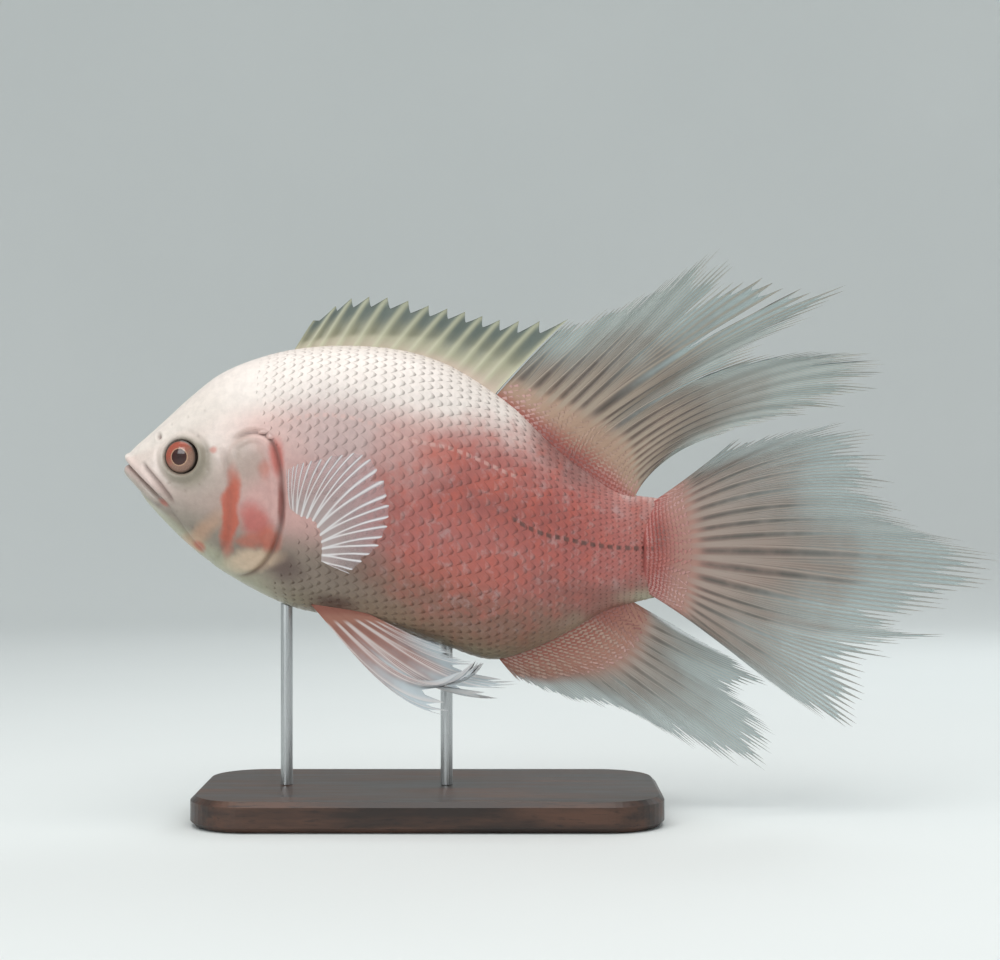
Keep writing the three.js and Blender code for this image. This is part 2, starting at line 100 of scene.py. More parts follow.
def placed(points):
    """Points of the fish's frame in metres above the stand: (x - 125, y, z + 144) / 1000."""
    return (points + [-SNOUT_TO_STAND_CENTRE, 0, SNOUT_HEIGHT]) / 1000


def smooth(t):
    """An S from 0 to 1: t squared times (3 - 2 t), held at both ends."""
    t = np.clip(t, 0, 1)
    return t * t * (3 - 2 * t)


def bell(distance, width):
    """A bell curve of height 1: e to the minus (distance / width) squared."""
    return np.exp(-((distance / width) ** 2))


def through(knots, places, spread=lambda place: place):
    """A curve through (place, value) knots. Between two knots it is the cubic that leaves each
    one at the slope of the chord between that knot's neighbours."""
    knots = np.asarray(knots, float)
    at, value = spread(knots[:, 0]), knots[:, 1]
    before = np.maximum(np.arange(len(at)) - 1, 0)
    after = np.minimum(np.arange(len(at)) + 1, len(at) - 1)
    slope = (value[after] - value[before]) / (at[after] - at[before])
    p = spread(np.clip(places, knots[0, 0], knots[-1, 0]))
    i = np.clip(np.searchsorted(at, p) - 1, 0, len(at) - 2)
    width = at[i + 1] - at[i]
    t = (p - at[i]) / width
    start = value[i] * (1 + 2 * t) + slope[i] * width * t
    end = value[i + 1] * (3 - 2 * t) + slope[i + 1] * width * (t - 1)
    return start * (1 - t) ** 2 + end * t * t


# %% [markdown]
# ## The body
# An oscar is deep and flat-sided, like a plate stood on edge. Its outline from the side gives the
# height of the back and the belly, and its outline from above gives the width. Each cross-section
# is then an oval between them, so the whole body is one function of the distance behind the snout
# and an angle round the section.

# %% Body outline and surface
BACK = [
    (0, 1.2), (7, 10.6), (16, 18.6), (27, 28.6), (39, 37.8), (54, 44.3), (70, 48.2), (90, 49.6),
    (112, 48), (130, 43), (145, 35), (160, 24.3), (174, 11), (188, -0.5), (204, -10.5),
    (220, -13.5),
]
BELLY = [
    (0, -1.2), (4, -9), (14, -21.4), (26, -33.2), (43, -46), (69, -59), (98, -64.5), (129, -74),
    (150, -80.5), (166, -77), (183, -69), (198, -60.5), (220, -54.5),
]
HALF_WIDTH = [
    (0, 1.5), (3, 6.2), (8, 10), (16, 13.6), (27, 17), (40, 20.5), (56, 23.5), (75, 25.5),
    (100, 26.5), (125, 25.5), (150, 21.5), (170, 17), (190, 12), (205, 9), (220, 7),
]
SECTION_FULLNESS = 0.88
BODY_LENGTH = 220
STEM_PINCH = 0.45
STEM_PINCH_FROM = 206


def section(x):
    """Middle height, half height and half width of the section at x. The last few millimetres
    are pinched, so that the body ends inside the root of the tail fin."""
    back, belly = through(BACK, x, np.sqrt), through(BELLY, x, np.sqrt)
    pinch = 1 - STEM_PINCH * smooth((x - STEM_PINCH_FROM) / (BODY_LENGTH - STEM_PINCH_FROM))
    return (back + belly) / 2, (back - belly) / 2, through(HALF_WIDTH, x, np.sqrt) * pinch


def oval(x, angle):
    """A point of the body: y = half width times cosine to the power of the fullness, with its
    sign kept, and z = middle + half height times sine."""
    middle, half, width = section(x)
    cosine = np.cos(angle)
    y = width * np.sign(cosine) * np.abs(cosine) ** SECTION_FULLNESS
    return np.stack([x + 0 * y, y, middle + half * np.sin(angle)], -1)


def facing(shape, u, v, step_u=0.02, step_v=0.002):
    """The unit normal of a surface: the cross product of a short step in v and one in u."""
    along = shape(u + step_u, v) - shape(u, v)
    around = shape(u, v + step_v) - shape(u, v - step_v)
    normal = np.cross(around, along)
    return normal / np.maximum(np.linalg.norm(normal, axis=-1, keepdims=True), 1e-12)


def flank(x, z):
    """How far the flank stands out at x and z: half width times the root of 1 - rise squared,
    to the power of the fullness."""
    middle, half, width = section(x)
    rise = np.clip((z - middle) / half, -0.99, 0.99)
    return width * np.sqrt(1 - rise**2) ** SECTION_FULLNESS


print("deepest section", round(float(2 * section(np.array([125.0]))[1][0]), 1), "mm")

# %% [markdown]
# ## The head's relief
# A fish's head is bone under thin skin: lips, the fold where the upper jaw slides, a ring round
# the eye, nostrils, and the gill cover, a plate whose rear edge stands free. Each could be cut as
# its own piece, but then seams would show. Here each is a height added to one smooth surface,
# worked out from the distance to a line or a point in side view.

# %% Distance helpers


def line_gap(x, z, line):
    """Distance from (x, z) to a chain of straight pieces, and how far along it the nearest point
    lies, from 0 to 1."""
    line = np.asarray(line, float)
    lengths = np.linalg.norm(np.diff(line, axis=0), axis=1)
    before = np.concatenate([[0], np.cumsum(lengths)])
    nearest = np.full(x.shape, np.inf)
    along = np.zeros(x.shape)
    for start, end, length, walked in zip(line[:-1], line[1:], lengths, before):
        share = ((x - start[0]) * (end[0] - start[0]) + (z - start[1]) * (end[1] - start[1]))
        share = np.clip(share / length**2, 0, 1)
        gap = np.hypot(x - start[0] - share * (end[0] - start[0]),
                       z - start[1] - share * (end[1] - start[1]))
        closer = gap < nearest
        nearest = np.where(closer, gap, nearest)
        along = np.where(closer, (walked + share * length) / before[-1], along)
    return nearest, along


def rounded(corners, count=96):
    """A closed smooth line through the corners of an outline."""
    looped = np.array(corners + corners[:2], float)
    places = np.linspace(0, len(corners), count + 1)
    numbers = np.arange(len(looped))
    columns = [through(np.stack([numbers, looped[:, c]], 1), places) for c in (0, 1)]
    line = np.stack(columns, 1)
    line[-1] = line[0]
    return line


def inside(x, z, outline):
    """True within a closed outline: a ray towards +x crosses it an odd number of times."""
    odd = np.zeros(x.shape, bool)
    for (x0, z0), (x1, z1) in zip(outline[:-1], outline[1:]):
        spans = (z0 > z) != (z1 > z)
        cross = x0 + (z - z0) * (x1 - x0) / (z1 - z0 if z1 != z0 else 1)
        odd ^= spans & (x < cross)
    return odd


# %% Relief of the head
MOUTH_FRONT_Z = 0.8
MOUTH_SLOPE = -0.927
EYE_X, EYE_Z, EYE_RADIUS = 24.8, 3.2, 6.6
NOSTRIL = (14.8, 11.6)
LIP_FOLD = [(7.5, 1.5), (10.5, -2), (15, -7), (19.5, -12.5), (22.4, -17.2)]
CHIN_FOLD = [(3.2, -8.2), (8, -12.6), (13.2, -15.6), (17.5, -17.6)]
JAW_FOLD = [(18.5, -17), (23, -23), (28.5, -31), (35, -38)]
CHEEK_FOLD = [(40.5, 8), (43.5, 2), (45, -8), (45.4, -20), (43.8, -31), (38.5, -39), (31, -40)]
GILL_EDGE = [
    (45.5, 8), (52, 11.5), (58, 11.5), (62, 8), (64.5, 1), (65.8, -8), (66, -18), (64.4, -27),
    (61.2, -35), (56.5, -41), (50, -44.5), (43.5, -43.5), (44, -34), (43.5, -20), (43.5, -6),
]
PORES = [
    (31.5, 11.5), (35.5, 5.5), (36, -2), (32.5, -8), (26.5, -10.5), (19.8, -7.6), (11.5, 15.2),
    (20, 16.5), (27, 19.5), (34, 22), (22.5, -19), (29, -25.5), (36.5, -32.5),
]


def head_relief(x, z):
    """Height added to the head at (x, z), and how deep in a fold the point lies, from 0 to 1."""
    cosine = 1 / np.hypot(1, MOUTH_SLOPE)
    above = (z - MOUTH_FRONT_Z - MOUTH_SLOPE * x) * cosine
    lips = smooth((21.5 - x) / 9)
    parting = smooth((20.5 - x) / 12) * 0.75 + 0.25 * smooth((21 - x) / 2)
    height = -2.1 * bell(above, 0.62) * parting
    height += 1.25 * bell(above - 2.3, 1.45) * lips + 1.15 * bell(above + 2.3, 1.4) * lips
    fold = bell(above, 0.75) * parting

    for line, depth, width, dark in (
        (LIP_FOLD, 0.95, 0.75, 0.75),
        (CHIN_FOLD, 0.5, 0.7, 0.45),
        (JAW_FOLD, 0.45, 0.8, 0.3),
        (CHEEK_FOLD, 0.5, 1.3, 0.22),
    ):
        gap, along = line_gap(x, z, line)
        fade = smooth(along / 0.15) * smooth((1 - along) / 0.2)
        height -= depth * bell(gap, width) * fade
        fold = np.maximum(fold, dark * bell(gap, width * 1.1) * fade)
        height += 0.3 * depth * bell(gap - 2.2 * width, 1.5 * width) * fade

    from_eye = np.hypot(x - EYE_X, z - EYE_Z)
    height += 0.85 * bell(from_eye - 8.3, 1.25) - 0.35 * bell(from_eye - 10.6, 1.1)
    height -= 3.6 * smooth((7.4 - from_eye) / 1.3)
    fold = np.maximum(fold, 0.5 * bell(from_eye - 6.9, 0.7))

    from_nostril = np.hypot(x - NOSTRIL[0], (z - NOSTRIL[1]) * 0.8)
    height += 0.3 * bell(from_nostril - 1.7, 0.6) - 1.3 * bell(from_nostril, 0.95)
    fold = np.maximum(fold, bell(from_nostril, 0.95))
    for pore_x, pore_z in PORES:
        from_pore = np.hypot(x - pore_x, z - pore_z)
        height -= 0.28 * bell(from_pore, 0.55)
        fold = np.maximum(fold, 0.3 * bell(from_pore, 0.5))

    outline = rounded(GILL_EDGE)
    gap, _ = line_gap(x, z, outline)
    inward = np.where(inside(x, z, outline), gap, -gap)
    free = smooth((x - 44.5) / 8)
    height += (0.25 + 0.75 * free) * smooth((inward + 0.5) / 1.5)
    height -= 0.95 * bell(inward + 1.2, 0.9) * free
    height -= 0.28 * bell(inward - 3.6, 1.0) * free
    fold = np.maximum(fold, 0.85 * bell(inward + 0.9, 0.8) * free)
    return height, fold


# %% [markdown]
# ## One skin
# The solids part the fish into head, jaw, gill covers, trunk and tail stem. On the animal they
# are under one skin, so one grid of rings covers them all and no seam can show. The rings stand
# close together on the head, where the relief is fine, and wider apart on the trunk, which the
# scales cover. The skin lies a little inside the solids, as deep as the scales are thick.

# %% A piece from points and faces


def smooth_mesh(name, points, faces):
    """A smooth-shaded mesh of points in metres."""
    mesh = bpy.data.meshes.new(name)
    mesh.from_pydata(points, [], faces)
    mesh.polygons.foreach_set("use_smooth", np.ones(len(mesh.polygons), bool))
    return mesh


def in_scene(name, data):
    """A new object in the scene that shows the data."""
    made = bpy.data.objects.new(name, data)
    bpy.context.scene.collection.objects.link(made)
    return made


def new_piece(name, points, faces, stands_for, values):
    """A mesh of points in the fish's frame, which rides on the one body. values are kept at its
    points by name."""
    mesh = smooth_mesh(name, placed(points).astype(np.float32), faces)
    for key, value in values.items():
        attribute = mesh.attributes.new(key, "FLOAT", "POINT")
        attribute.data.foreach_set("value", np.asarray(value, np.float32).ravel())
    mesh.update()
    mesh.calc_loop_triangles()
    piece = in_scene(name, mesh)
    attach(piece, "root")
    if stands_for:
        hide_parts(*stands_for)
    print(name, len(mesh.vertices), "points,", len(mesh.loop_triangles), "triangles")
    return piece


def grid_faces(rows, columns, wrap=False):
    """Four-cornered faces between the points of a grid; with wrap the last column joins the
    first."""
    number = np.arange(rows * columns).reshape(rows, columns)
    if wrap:
        number = np.concatenate([number, number[:, :1]], 1)
    corners = [number[:-1, :-1], number[:-1, 1:], number[1:, 1:], number[1:, :-1]]
    return np.stack(corners, -1).reshape(-1, 4)


def margin_of(rows, columns):
    """The numbers of a grid's points round its margin, in order, and the next one of each."""
    number = np.arange(rows * columns).reshape(rows, columns)
    rim = np.concatenate([number[0, :-1], number[:-1, -1], number[-1, :0:-1], number[:0:-1, 0]])
    return rim, np.roll(rim, -1)


def enclosed(points, faces):
    """The volume inside a closed mesh, less than nothing if its faces point inwards: a sixth of
    the sum of the triple products of each triangle's corners."""
    a, b, c, d = (points[faces[:, k]] for k in range(4))
    triple = np.einsum("ij,ij->i", a, np.cross(b, c)) + np.einsum("ij,ij->i", a, np.cross(c, d))
    return triple.sum() / 6


# %% The skin
HEAD_RINGS, TRUNK_RINGS, RING_POINTS = 178, 132, 300
HEAD_LENGTH = 70
HEAD_CROWDING = 1.35
HEAD_INSET, COAT_DEPTH = 0.1, 0.4
COAT_BEGINS, COAT_DEEPENS_OVER = 30, 35


def skin_surface():
    """Rings of points behind one another, moved out by the relief and in by the coat's depth,
    and one point more at each end to close it."""
    head = HEAD_LENGTH * (np.arange(HEAD_RINGS) / HEAD_RINGS) ** HEAD_CROWDING
    trunk = np.linspace(HEAD_LENGTH, BODY_LENGTH, TRUNK_RINGS)
    x = np.concatenate([head, trunk])[:, None]
    angle = np.linspace(0, 2 * np.pi, RING_POINTS, endpoint=False)[None, :] + 0 * x
    x = x + 0 * angle
    points = oval(x, angle)
    height, fold = head_relief(x, points[..., 2])
    coat = smooth((x - COAT_BEGINS) / COAT_DEEPENS_OVER)
    inset = HEAD_INSET + (COAT_DEPTH - HEAD_INSET) * coat
    points = points + facing(oval, x, angle) * (height - inset)[..., None]
    return points, fold, np.sin(angle)


rings, fold, rise = skin_surface()
count, around = rings.shape[:2]
ends = np.stack([rings[0].mean(0), rings[-1].mean(0)])
first, last = count * around, count * around + 1
back_row = (count - 1) * around
pairs = [(a, (a + 1) % around) for a in range(around)]
caps = [[first, b, a] for a, b in pairs] + [[last, back_row + a, back_row + b] for a, b in pairs]
skin = new_piece(
    "skin",
    np.concatenate([rings.reshape(-1, 3), ends]),
    grid_faces(count, around, wrap=True).tolist() + caps,
    ("head", "lower_jaw", "gill_cover_left", "gill_cover_right", "trunk", "tail_stem"),
    {"fold": np.append(fold, [1, 0]), "rise": np.append(rise, [0, 0])},
)

# %% [markdown]
# ## Scales
# A scale is a thin rounded plate. Its front end sits in a pocket of the skin and its rear edge
# lies over the roots of the next ones, like a roof tile. Bump alone can't break the outline or
# catch the light as real edges do, so each scale is its own closed plate. All plates are one
# array: a small patch of 5 by 5 points, bent onto the body by the body's own formula.

# %% One plate and many plates
PLATE_SIDE = 5
PLATE_THICKNESS = 0.1
TIP_ROUNDING, TIP_NARROWING = 0.28, 0.35
ROOT_SINK, SIDE_SINK = 0.24, 0.04
PATCH_SIZE = 0.003


def plates(surface, at, sizes, lift, unwrap):
    """Bends a plate onto a surface at each root.

    at holds (u, v) of the roots, sizes the plate's length and half width, both as steps in u and
    v. Within a plate a runs from root to tip and b from side to side: the outline is
    u + length (a - 0.28 b^2 a^3) and v + width b (1 - 0.35 a^4), and the height above the surface
    rises from below it at the root to the lift at the tip. Returns points, faces, patch places
    and nearness to the rear edge."""
    a, b = np.meshgrid(np.linspace(0, 1, PLATE_SIDE), np.linspace(-1, 1, PLATE_SIDE), indexing="ij")
    u = at[:, 0, None, None] + sizes[:, 0, None, None] * (a - TIP_ROUNDING * b**2 * a**3)
    v = at[:, 1, None, None] + sizes[:, 1, None, None] * b * (1 - TIP_NARROWING * a**4)
    rise = lift[:, None, None] * a**1.3 - ROOT_SINK * (1 - a) - SIDE_SINK * b**2
    base, normal = surface(u, v)
    outer = base + normal * rise[..., None]
    inner = outer - normal * PLATE_THICKNESS
    points = np.stack([outer, inner], 1).reshape(len(at), -1, 3)

    top = grid_faces(PLATE_SIDE, PLATE_SIDE)
    one_face = PLATE_SIDE**2
    rim, beside = margin_of(PLATE_SIDE, PLATE_SIDE)
    wall = np.stack([rim, rim + one_face, beside + one_face, beside], 1)
    plate = np.concatenate([top, top[:, ::-1] + one_face, wall])
    faces = plate[None] + (np.arange(len(at)) * 2 * one_face)[:, None, None]

    patch = PATCH_SIZE * np.stack([a - 0.5, b / 2], -1).reshape(-1, 2)
    places = unwrap[:, None] + np.concatenate([patch, patch])[None]
    edge = np.tile(np.maximum(a**6, 0.7 * np.abs(b) ** 5).ravel(), 2)
    return points, faces.reshape(-1, 4), places, edge


def coat_piece(name, made, stands_for, values):
    """Joins plates into one piece with its patches in the OFBake map."""
    points, faces, places, edge = made
    each = points.shape[1]
    values = {key: np.repeat(value, each) for key, value in values.items()}
    values["edge"] = np.tile(edge, len(points))
    piece = new_piece(name, points.reshape(-1, 3), faces.tolist(), stands_for, values)
    corners = np.empty(len(piece.data.loops), np.int32)
    piece.data.loops.foreach_get("vertex_index", corners)
    layer = piece.data.uv_layers.new(name="OFBake")
    layer.data.foreach_set("uv", places.reshape(-1, 2)[corners].astype(np.float32).ravel())
    return piece


# %% Scales of the body
ROWS_A_SIDE = 34
FIRST_SCALE_X, LAST_SCALE_X = 37, 214
SCALE_LIFT = 0.1
SMALLEST_PITCH, PITCH_GROWTH, GREATEST_DEPTH = 1.5, 2.5, 125
# The length of the first scales in pitches and what the others gain, the half width in rows, and
# the share of a full scale's width and lift that the first ones have
SCALE_LENGTH, LENGTH_GROWTH = 1.75, 0.3
SCALE_HALF_WIDTH, YOUNG_WIDTH, YOUNG_LIFT = 0.66, 0.85, 0.35
YOUNG_BAND = 16
# How far behind the snout the scales begin, at heights from the breast up to the nape
SCALES_BEGIN = [
    (-66, 47), (-47, 50), (-44, 57), (-41, 61), (-35, 65), (-27, 68), (-18, 69.5), (-8, 69.5),
    (1, 68), (8, 65.5), (12, 61), (15, 52), (20, 45), (30, 40), (50, 38),
]


def scale_columns():
    """Places of the columns of scales: each is one pitch behind the last, and the pitch grows
    with the body's depth."""
    x = [FIRST_SCALE_X]
    while x[-1] < LAST_SCALE_X:
        depth = 2 * float(section(np.array([x[-1]]))[1][0])
        x.append(x[-1] + SMALLEST_PITCH + PITCH_GROWTH * depth / GREATEST_DEPTH)
    return np.array(x)


def body_under_scales(x, angle):
    """The skin's level under the scales, and its normal."""
    normal = facing(oval, x, angle)
    return oval(x, angle) - normal * COAT_DEPTH, normal


columns = scale_columns()
pitch = np.gradient(columns)
row_step = np.pi / ROWS_A_SIDE
for side, middle_angle in (("left", np.pi), ("right", 0.0)):
    shift = 0.5 * (np.arange(len(columns)) % 2)[:, None]
    turns = (np.arange(ROWS_A_SIDE)[None] + shift) * row_step - np.pi / 2 + row_step / 4
    x = np.repeat(columns[:, None], ROWS_A_SIDE, 1)
    angle = middle_angle + (turns if side == "right" else -turns)
    z = oval(x, angle)[..., 2]
    begin = np.interp(z, *np.array(SCALES_BEGIN, float).T)
    kept = x > begin
    grown = smooth((x - begin) / YOUNG_BAND)[kept]
    at = np.stack([x[kept], angle[kept]], 1)
    pitches = np.repeat(pitch[:, None], ROWS_A_SIDE, 1)[kept]
    long = pitches * (SCALE_LENGTH + LENGTH_GROWTH * grown)
    wide = np.full(len(at), row_step * SCALE_HALF_WIDTH) * (YOUNG_WIDTH + 0.15 * grown)
    sizes = np.stack([long, wide], 1) * rng.uniform(0.94, 1.06, (len(at), 1))
    lift = SCALE_LIFT * (YOUNG_LIFT + 0.65 * grown) * rng.uniform(0.8, 1.15, len(at))
    unwrap = np.stack([at[:, 0] / 230, (at[:, 1] + np.pi) / (2 * np.pi + 0.1) * 0.96 % 1], 1)
    made = plates(body_under_scales, at, sizes, lift, unwrap)
    values = {"rise": np.sin(at[:, 1]), "tint": rng.random(len(at))}
    coat_piece(f"flank_scales_{side}", made, ("trunk", "tail_stem"), values)
    print(side, len(at), "scales")

# %% [markdown]
# ## Fins
# A fin is a fan of rays joined by a thin membrane. Each ray is a chain of short bones in two
# halves. It leaves its root at one angle, bends on its way, and splits into branches, and in the
# long-finned breed the branches run out as loose filaments. One formula gives every point: the
# ray's number across the fin, and how far along the ray. A ridge of each branch is thickness in
# the sheet itself, so light falls on it as on the real one.

# %% Rays
RAY_SAMPLES, RAY_WEIGHTS = np.polynomial.legendre.leggauss(12)


def bend(turn, t, hook):
    """Where a ray of length 1 is after the share t, as a complex number x + iz: the sum along the
    way of e to the i times turn times share ** hook, by twelve weighted samples."""
    share = t[..., None] * (RAY_SAMPLES + 1) / 2
    return (np.exp(1j * turn[..., None] * share**hook) * RAY_WEIGHTS).sum(-1) * t / 2


def fin_point(fin, number, t):
    """A point of the fin's middle sheet on ray number at the share t, and the ray's length.
    Root, tip and turn are curves through the guide rays. The bent line is then turned and
    stretched onto its two ends, and sway gives how far the sheet stands from the middle plane."""
    guides = np.array(fin["guides"], float)
    root_x, root_z, tip_x, tip_z, turn = (
        through(guides[:, [0, column]], number) for column in range(1, 6)
    )
    turn = np.radians(turn)
    whole = bend(turn, np.ones_like(number), fin["hook"])
    reach = (tip_x - root_x + 1j * (tip_z - root_z)) / whole
    line = root_x + 1j * root_z + reach * bend(turn, t, fin["hook"])
    y = fin["sway"](number / guides[-1, 0], t, line.real, line.imag)
    return np.stack([line.real, y, line.imag], -1), np.abs(reach)


def sheath_half(fin, number, t, length):
    """Half the thickness of the fleshy, scaled foot of the fin, which thins to nothing at reach
    along the ray."""
    return fin["sheath"](number) * (1 - smooth(t * length / fin["reach"](number)))


# %% Columns of a fin
MEMBRANE_ROOT_HALF, MEMBRANE_EDGE_HALF = 0.2, 0.05
SHEATH_OVERLAP = 0.35
NOTCH = (0.05, 0.15)
BUNDLED = 0.3


def fin_columns(fin):
    """Every ray has one or more tips, with a valley half way between two tips, and a few columns
    between a valley and a tip. Gives for each column its place at the fin's edge and at its foot,
    where a ray's branches lie together, its margin, its level of web, its nearness to a tip, and
    how much shade is painted on the membrane there: fully between two rays, faintly within one."""
    last = fin["guides"][-1][0]
    tips = [0.0] + [n + o for n in range(last + 1) for o in fin["branches"]] + [float(last)]
    tips = [tip for tip in tips if 0.06 < tip < last - 0.06 or tip in (0.0, float(last))]
    tips = np.unique(tips)
    ray = np.round(tips)
    longest = 1.02 - 0.15 * np.abs(tips - ray) - rng.uniform(0, fin["ragged"], len(tips))
    web_level = lambda place: np.interp(place, np.arange(last) + 0.5, fin["web"])

    places, feet, margin, nearness, dark = [], [], [], [], []
    for i in range(len(tips) - 1):
        split = ray[i] != ray[i + 1]
        valley = (tips[i] + tips[i + 1]) / 2
        low = min(longest[i], longest[i + 1])
        low = min(web_level(valley), low - 0.01) if split else low - rng.uniform(*NOTCH)
        foot = lambda place, n: n + (place - n) * BUNDLED
        valley_foot = (ray[i] + ray[i + 1]) / 2 if split else foot(valley, ray[i])
        near = np.arange(fin["steps"]) / fin["steps"]
        down, up = (1 - near) ** fin["point"], near ** fin["point"]
        start_foot, end_foot = foot(tips[i], ray[i]), foot(tips[i + 1], ray[i + 1])
        places += [tips[i] + (valley - tips[i]) * near, valley + (tips[i + 1] - valley) * near]
        feet += [start_foot + (valley_foot - start_foot) * near]
        feet += [valley_foot + (end_foot - valley_foot) * near]
        margin += [low + (longest[i] - low) * down, low + (longest[i + 1] - low) * up]
        nearness += [1 - near, near]
        # Strength of the painted shade in the valleys: full between two rays, faint between
        # branches of one
        dark += [np.full(2 * len(near), 1.0 if split else 0.4)]
    places, feet, margin, nearness, dark = (
        np.concatenate(values + [[end]])
        for values, end in (
            (places, tips[-1]), (feet, tips[-1]), (margin, longest[-1]), (nearness, 1.0),
            (dark, 0.0),
        )
    )
    return places, feet, margin, np.minimum(web_level(places), margin), nearness, dark


def fin_piece(name, fin, stands_for, rows, mirror=False):
    """The closed sheet of a fin. Rows are even out to the web and crowd into the filaments: the
    share is tau * web + (margin - web) * tau ** 5. Both faces stand off the middle sheet by the
    membrane, the ridge and the sheath."""
    places, feet, margin, web, nearness, dark = fin_columns(fin)
    tau = np.linspace(0, 1, rows + 1)[None]
    t = tau * web[:, None] + (margin - web)[:, None] * tau**5
    spread = smooth((t - 0.12) / 0.6)
    number = feet[:, None] * (1 - spread) + places[:, None] * spread
    middle, length = fin_point(fin, number, t)
    out = t / margin[:, None]
    bundle = np.clip(1.6 - 1.6 * np.abs(number - np.round(number)) / BUNDLED, 0, 1)
    fine = nearness[:, None] ** 1.4
    ridge = np.maximum(fine, bundle * (1 - spread))
    sheath = sheath_half(fin, number, t, length)
    membrane = MEMBRANE_ROOT_HALF + (MEMBRANE_EDGE_HALF - MEMBRANE_ROOT_HALF) * out
    flesh = np.clip(sheath / np.maximum(fin["sheath"](number), 0.01), 0, 1)
    ridged = fin["ridge"] * ridge * (1 - 0.75 * out) * (1 - 0.8 * flesh)
    half = membrane + ridged + np.maximum(sheath - SHEATH_OVERLAP, 0)
    half *= 1 - 0.75 * smooth((tau - 0.9) / 0.1)
    middle[..., 1] += fin["ripple"] * np.sin(5.5 * number + 5 * t) * t * t

    faces_out = [middle + [0, side, 0] * half[..., None] for side in (-1, 1)]
    if mirror:
        faces_out = [face * [1, -1, 1] for face in faces_out]
    one_face = len(places) * (rows + 1)
    sheet = grid_faces(len(places), rows + 1)
    rim, beside = margin_of(len(places), rows + 1)
    wall = np.stack([rim + one_face, beside + one_face, beside, rim], 1)
    faces = np.concatenate([sheet[:, ::-1], sheet + one_face, wall])
    points = np.concatenate([face.reshape(-1, 3) for face in faces_out])
    # The wall is wound against the two faces, so the sum is no true volume, only a rough guide
    if enclosed(points, faces) < 0:
        faces = faces[:, ::-1]
    values = {
        "out": np.tile(out.ravel(), 2),
        "ray": np.tile(ridge.ravel(), 2),
        "flesh": np.tile(flesh.ravel(), 2),
        # line: how much shade is painted on the membrane between the rays
        "line": np.tile((dark[:, None] * (1 - ridge)).ravel(), 2),
    }
    return new_piece(name, points, faces.tolist(), stands_for, values)


# %% [markdown]
# ### The fins of this fish
# Each fin has a few guide rays: ray number, root x and z, tip x and z, and the turn in degrees on
# the way. The spiny front of the dorsal fin is short and stiff. The soft dorsal, tail and anal
# fins stream far behind the body. The pectoral fins are clear fans, and each pelvic fin is a
# narrow blade that ends in streamers.

# %% Unpaired fins
SIX_BRANCHES = (-0.42, -0.25, -0.08, 0.08, 0.25, 0.42)
SOFT = dict(hook=1, branches=SIX_BRANCHES, steps=2, point=2, ridge=0.34, ripple=0.5, ragged=0.07)

SPINY_DORSAL = dict(
    guides=[
        (0, 67.5, 44.5, 76.8, 59.5, -4), (1, 72.5, 44.5, 85.9, 65.3, -5),
        (2, 78, 44.5, 92.5, 68.5, -6), (4, 92, 44, 107.4, 69, -8),
        (6, 106.5, 42.5, 124.3, 65.5, -8), (8, 120.5, 40, 139.6, 63.2, -8),
        (10, 133.5, 34.5, 154, 60, -8),
        (12, 143.5, 28.5, 170, 59, -8), (13, 148.3, 24.7, 182.1, 60.2, -8),
    ],
    hook=1, branches=(0,), steps=7, point=1.2, ridge=0.75, ripple=0.15, ragged=0.02,
    sheath=lambda n: 1.4 + 0.28 * n, reach=lambda n: 9 + 1.3 * n,
    sway=lambda s, t, x, z: 0.6 * np.sin(9 * s) * t,
    web=[0.84] * 13,
)
SOFT_DORSAL = dict(
    SOFT,
    guides=[
        (0, 148.9, 24.2, 182.7, 60.1, -8), (2, 158.5, 17, 213, 70.6, -4),
        (4, 165.5, 11, 244, 91, 4), (5, 169, 8, 251, 86, -2), (6, 172, 5.5, 260, 77.5, -10),
        (7, 175, 3.2, 298, 73.5, -20), (8, 178, 1, 284, 61, -26), (9, 181, -1.2, 262, 49, -30),
        (11, 187, -5.3, 307, 46, -44), (13, 193, -9, 314.5, 37, -52),
        (15, 198, -12, 297, 24, -62), (17, 203, -14.8, 266, 17.5, -60),
        (19, 207.5, -17.5, 230, 9, -34),
    ],
    sheath=lambda n: 5 - 0.1 * n,
    reach=lambda n: 21 + 16 * np.sin(np.pi * n / 19).clip(0) ** 1.5 - 0.45 * n,
    sway=lambda s, t, x, z: -12 * s * t * t + 2 * np.sin(13 * s + 2.5 * t) * t,
    web=[0.9, 0.9, 0.9, 0.86, 0.8, 0.72, 0.56, 0.72, 0.76, 0.6] + [0.84] * 9,
)
TAIL = dict(
    SOFT,
    guides=[
        (0, 213, -18, 254, 12, 6), (2, 213, -22, 297, 18, -22), (3, 213, -24, 311, 13.5, -32),
        (5, 213, -28, 318, -8, -42), (7, 213, -31.6, 331, -26, -34), (9, 213, -35, 364, -38, -14),
        (10, 213, -36.7, 362, -49, -3), (12, 213, -40, 322, -67, 18),
        (13, 213, -41.7, 337, -70, 30), (14, 213, -43.3, 315, -78, 24),
        (16, 213, -46.5, 301, -108, 0), (17, 212.5, -48, 284, -103, -2),
        (19, 211, -50.5, 240, -70, -8),
    ],
    sheath=lambda n: 2 + 4.6 * np.sin(np.pi * n / 19).clip(0), reach=lambda n: 30 + 0 * n,
    sway=lambda s, t, x, z: (11 - 20 * s) * t * t + 2.2 * np.sin(12 * s + 2 * t) * t,
    web=[0.76 if n % 3 == 2 else 0.86 for n in range(19)],
)
